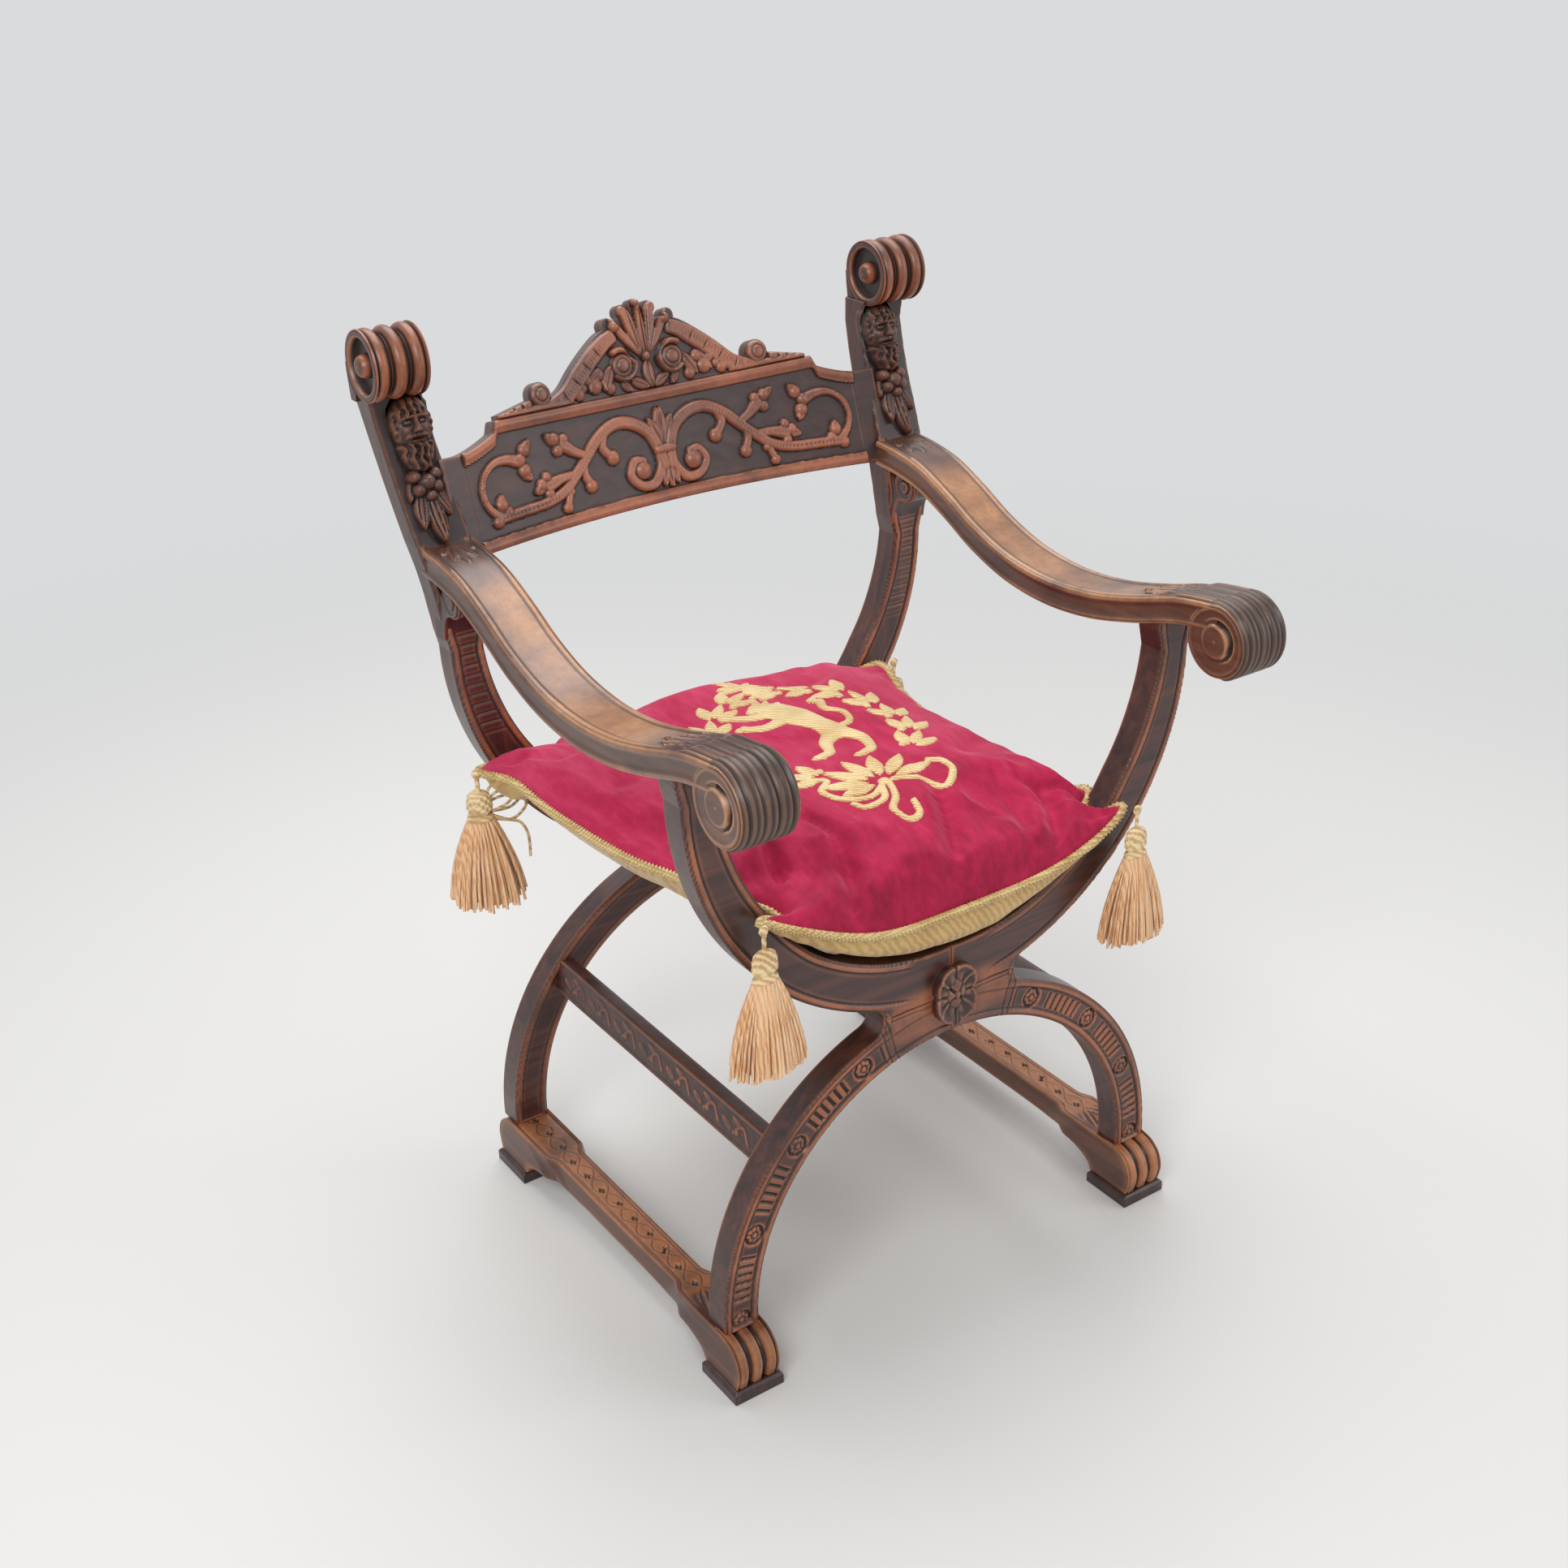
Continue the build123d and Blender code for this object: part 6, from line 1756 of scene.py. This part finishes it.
def twisted_rope(name: str, path: np.ndarray, radius: float, lay: float, material: Material,
                 closed: bool = False) -> Piece:
    """A cord of three strands twisted together along a path.

    Args:
        name: name of the piece.
        path: points of its middle in mm.
        radius: outer radius in mm.
        lay: length of one full twist in mm.
        material: its thread.
        closed: whether the path joins up.

    Returns:
        The cord.
    """
    curve = bpy.data.curves.new(name + "_path", "CURVE")
    curve.dimensions = "3D"
    spline = curve.splines.new("POLY")
    spline.points.add(len(path) - 1)
    spline.points.foreach_set("co", np.hstack([path * MM, np.ones((len(path), 1))]).ravel())
    spline.use_cyclic_u = closed
    cord = Growth("twisted_cord", {"Radius": "Float", "Lay": "Float"})
    add, start = cord.add, cord.start
    even = add("GeometryNodeResampleCurve", {"Curve": start["Geometry"], "Length": 0.0016}, mode="LENGTH")
    turns = add("ShaderNodeMath DIVIDE", add("GeometryNodeSplineParameter", output="Length"), start["Lay"])
    turned = add("GeometryNodeSetCurveTilt", {"Curve": even, "Tilt": add(TIMES, turns, 2 * math.pi)})
    # a section with three lobes
    circle = add("GeometryNodeCurvePrimitiveCircle", {"Resolution": 12, "Radius": 1})
    place = add("GeometryNodeInputPosition")
    x, y = (add("ShaderNodeSeparateXYZ", place, output=axis) for axis in ("X", "Y"))
    wave = add("ShaderNodeMath COSINE", add(TIMES, add("ShaderNodeMath ARCTAN2", y, x), 3))
    size = add(TIMES, add("ShaderNodeMath MULTIPLY_ADD", wave, 0.2, 0.8), start["Radius"])
    spread = add("ShaderNodeVectorMath SCALE", {0: place, "Scale": size})
    lobed = add("GeometryNodeSetPosition", {"Geometry": circle, "Position": spread})
    tube = add("GeometryNodeCurveToMesh", {"Curve": turned, "Profile Curve": lobed, "Fill Caps": True})
    return cord.grow(name, curve, tube, Radius=radius * MM, Lay=lay * MM, Material=material)


# spare cord tied in a bow beside the back left tassel: x and z from its knot
TIES = (((2, -34), (20, -26), (40, -24), (50, -36), (36, -48), (14, -46), (2, -42)),
        ((2, -38), (22, -34), (44, -36), (52, -50), (36, -60), (16, -54), (2, -46)),
        ((2, -36), (16, -16), (32, -14), (40, -26), (28, -38), (10, -42)),
        ((4, -44), (24, -56), (40, -64), (48, -82), (50, -108)))


@dataclass
class Tassel:
    """One silk tassel: cord, netted head and a skirt of threads."""

    corner: str
    knot: Spot
    flatness: float
    seed: int
    strands: int = 330

    ties: tuple[Points, ...] = ()
    cord_length: float = 20.0
    head_height: float = 34.0
    skirt_height: float = 88.0
    neck: float = 12.5
    foot: float = 40.0

    def skirt(self, finishes: Finishes) -> Piece:
        """The skirt of hanging threads."""
        name = f"tassel_{self.corner}_skirt"
        threads = Growth("tassel_skirt_" + self.corner, {
            "Strands": "Int", "Length": "Float", "Neck": "Float", "Foot": "Float", "Thread": "Float", "Seed": "Int"})
        add, start = threads.add, threads.start
        points = add("GeometryNodeMeshLine", {"Count": start["Strands"], "Offset": (0, 0, 0)})
        drop = add(TIMES, start["Length"], -1)
        root, waist, tip = (add("ShaderNodeCombineXYZ", {"X": x, "Z": z}) for x, z in (
            (start["Neck"], 0), (add(TIMES, start["Foot"], 0.86), add(TIMES, drop, 0.5)), (start["Foot"], drop)))
        thread = add("GeometryNodeCurveQuadraticBezier", {"Resolution": 9, "Start": root, "Middle": waist, "End": tip})
        section = add("GeometryNodeCurvePrimitiveCircle", {"Resolution": 5, "Radius": start["Thread"]})
        tube = add("GeometryNodeCurveToMesh", {"Curve": thread, "Profile Curve": section, "Fill Caps": True})
        turn = add(TIMES, add("GeometryNodeInputIndex"), 2.39996)
        jitter = add("FunctionNodeRandomValue", {2: -0.12, 3: 0.12, "Seed": start["Seed"]}, output=1, data_type="FLOAT")
        size = add("FunctionNodeRandomValue", {0: (0.5, 0.93, 0.93), 1: (1, 1, 1.03), "Seed": start["Seed"]},
                   data_type="FLOAT_VECTOR")
        hung = add("GeometryNodeInstanceOnPoints", {
            "Points": points, "Instance": tube, "Scale": size,
            "Rotation": add("ShaderNodeCombineXYZ", {"Z": add(PLUS, turn, jitter)})})
        piece = threads.grow(name, bpy.data.meshes.new("seed"), hung, Strands=self.strands,
                             Length=self.skirt_height * MM, Neck=self.neck * MM, Foot=self.foot * MM,
                             Thread=1.7 * MM, Seed=self.seed, Material=finishes.fringe)
        x, y, z = self.knot
        z -= self.cord_length + self.head_height - 3
        piece.data.transform(Matrix.Translation(Vector((x, y, z)) * MM) @ Matrix.Diagonal((1, self.flatness, 1, 1)))
        return piece

    def head(self, finishes: Finishes) -> Piece:
        """The knot, the netted head and its collar of cord."""
        profile = [(0, 4.6), (2.6, 4.2), (4.6, 1.6), (4.8, -1.6), (3, -4.2), (2.4, -6), (2.4, -19), (4.5, -20),
                   (8.6, -21.5), (11.2, -25), (12.4, -30), (12.9, -36), (12.4, -40), (9.4, -43.5), (9.2, -45),
                   (12.6, -46), (13.4, -48.5), (12.4, -51), (11, -53), (13.2, -55), (0, -57)]
        points = curve_through(profile, 8)
        angles = np.linspace(0, 2 * np.pi, 72, endpoint=False)
        radius, z = np.maximum(points[:, :1], 0.05), points[:, 1:]
        net = abs(np.sin(5 * angles + z / 2.6) * np.sin(5 * angles - z / 2.6)) ** 0.5
        on_head = ease(-21, -24, z) * ease(-43, -40, z)
        radius = radius + on_head * (1 - net * 2.2) + ease(-19, -18, z) * (0.35 * np.cos(3 * angles + z * 0.9))
        ring = np.stack([radius * np.cos(angles), radius * np.sin(angles) * self.flatness,
                         np.broadcast_to(z, radius.shape)], -1)
        n, m = radius.shape
        caps = [[*range(m)], [*range(n * m - m, n * m)][::-1]]
        shape = Shape()
        shape.add(ring.reshape(-1, 3) + np.array(self.knot), [*ring_faces(n, m)[:, ::-1].tolist(), *caps], 0,
                  unit(on_head * net).ravel())
        return shape.build(f"tassel_{self.corner}_head", finishes.netting, 50)

    def make(self, finishes: Finishes) -> None:
        """Make the tassel."""
        body = f"tassel_{self.corner}_body"
        head = self.head(finishes)
        skirt = self.skirt(finishes)
        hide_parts(f"tassel_{self.corner}")
        for piece in (head, skirt):
            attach(piece, body)
        for number, line in enumerate(self.ties):
            x, y, z = self.knot
            path = curve_through([(x + a, z + c) for a, c in line], 8)
            bow = np.column_stack([path[:, 0], y - 3 + 5 * np.sin(np.linspace(0, np.pi, len(path)) + number),
                                   path[:, 1]])
            loop = twisted_rope(f"tassel_{self.corner}_tie_{number + 1}", bow, 1.9, 7, finishes.netting)
            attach(loop, body)
        LOG.info("tassel %s hangs from %s", self.corner, self.knot)


# ---- the studio
@dataclass
class Studio:
    """Pale floor, soft boxes and the camera."""

    lens: float = 46.94
    place: Spot = (-1.0638, -1.5114, 1.4124)
    yaw: float = math.radians(34.0951)
    pitch: float = math.radians(26.5885)
    roll: float = math.radians(-1.54)

    def camera(self) -> None:
        """Stand the camera."""
        data = bpy.data.cameras.new("camera")
        data.lens, data.sensor_width, data.clip_end = self.lens, 36.0, 200.0
        ahead = Vector((math.sin(self.yaw) * math.cos(self.pitch), math.cos(self.yaw) * math.cos(self.pitch),
                        -math.sin(self.pitch)))
        right = Vector((math.cos(self.yaw), -math.sin(self.yaw), 0))
        up = right.cross(ahead)
        tilted = math.cos(self.roll) * right + math.sin(self.roll) * up
        above = -math.sin(self.roll) * right + math.cos(self.roll) * up
        turn = Matrix((tilted, above, -ahead)).transposed().to_4x4()
        camera = placed("camera", data)
        camera.matrix_world = Matrix.Translation(self.place) @ turn
        bpy.context.scene.camera = camera

    @staticmethod
    def soft_box(name: str, place: Spot, size: float, power: float) -> None:
        """Hang a square soft box that faces the chair."""
        data = bpy.data.lights.new(name, "AREA")
        data.size, data.energy = size, power
        light = placed(name, data)
        light.location = place
        light.rotation_euler = (Vector((0, 0, 0.45)) - Vector(place)).to_track_quat("-Z", "Y").to_euler()

    def make(self, finishes: Finishes) -> None:
        """Set the studio up."""
        self.camera()
        self.soft_box("key", (-2.2, -1.9, 2.6), 1.8, 66)
        self.soft_box("fill", (2.4, -2.2, 1.6), 2.2, 26)
        self.soft_box("top", (0.2, 0.9, 2.8), 2.4, 56)
        world = bpy.data.worlds.new("pale_room")
        add = blank(world)
        room = add("ShaderNodeBackground", {"Color": linear("#f3f4f6"), "Strength": 0.42})
        seen = add("ShaderNodeBackground", {"Color": linear(ROOM_COLOUR), "Strength": 1})
        add("ShaderNodeOutputWorld", add("ShaderNodeMixShader", seen_rays(add), room, seen))
        bpy.context.scene.world = world
        mesh = bpy.data.meshes.new("floor")
        mesh.from_pydata([(-60, -60, 0), (60, -60, 0), (60, 60, 0), (-60, 60, 0)], [], [(0, 1, 2, 3)])
        mesh.materials.append(finishes.floor)
        floor = placed("floor", mesh)
        bpy.context.scene.view_settings.view_transform = "Standard"


def main() -> None:
    """Build the chair, piece by piece."""
    logging.basicConfig(level=logging.INFO, format="%(name)s: %(message)s")
    finishes = Finishes()
    XFrames().make(finishes)
    Arms().make(finishes)
    BackBoard().make(finishes)
    Base().make(finishes)
    for name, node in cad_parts.items():
        finish = None
        if name.startswith("seat_slat") or name.endswith("seat_cleat") or name == "arm_dowels":
            finish = finishes.seat
        elif name == "seat_screws":
            finish = finishes.steel
        if finish:
            node.data.materials.clear()
            node.data.materials.append(finish)
    Cushion().make(finishes)
    for number, (corner, knot, flatness) in enumerate((
            ("front_left", (-232.012, -245.4, 514), 0.56), ("front_right", (207.044, -245.4, 492.994), 0.56),
            ("back_left", (-286.924, 186, 511.631), 1), ("back_right", (232.563, 176, 499.417), 0.56))):
        Tassel(corner, knot, flatness, 21 + number, ties=TIES if corner == "back_left" else ()).make(finishes)
    Studio().make(finishes)


if __name__ == "__main__":
    main()
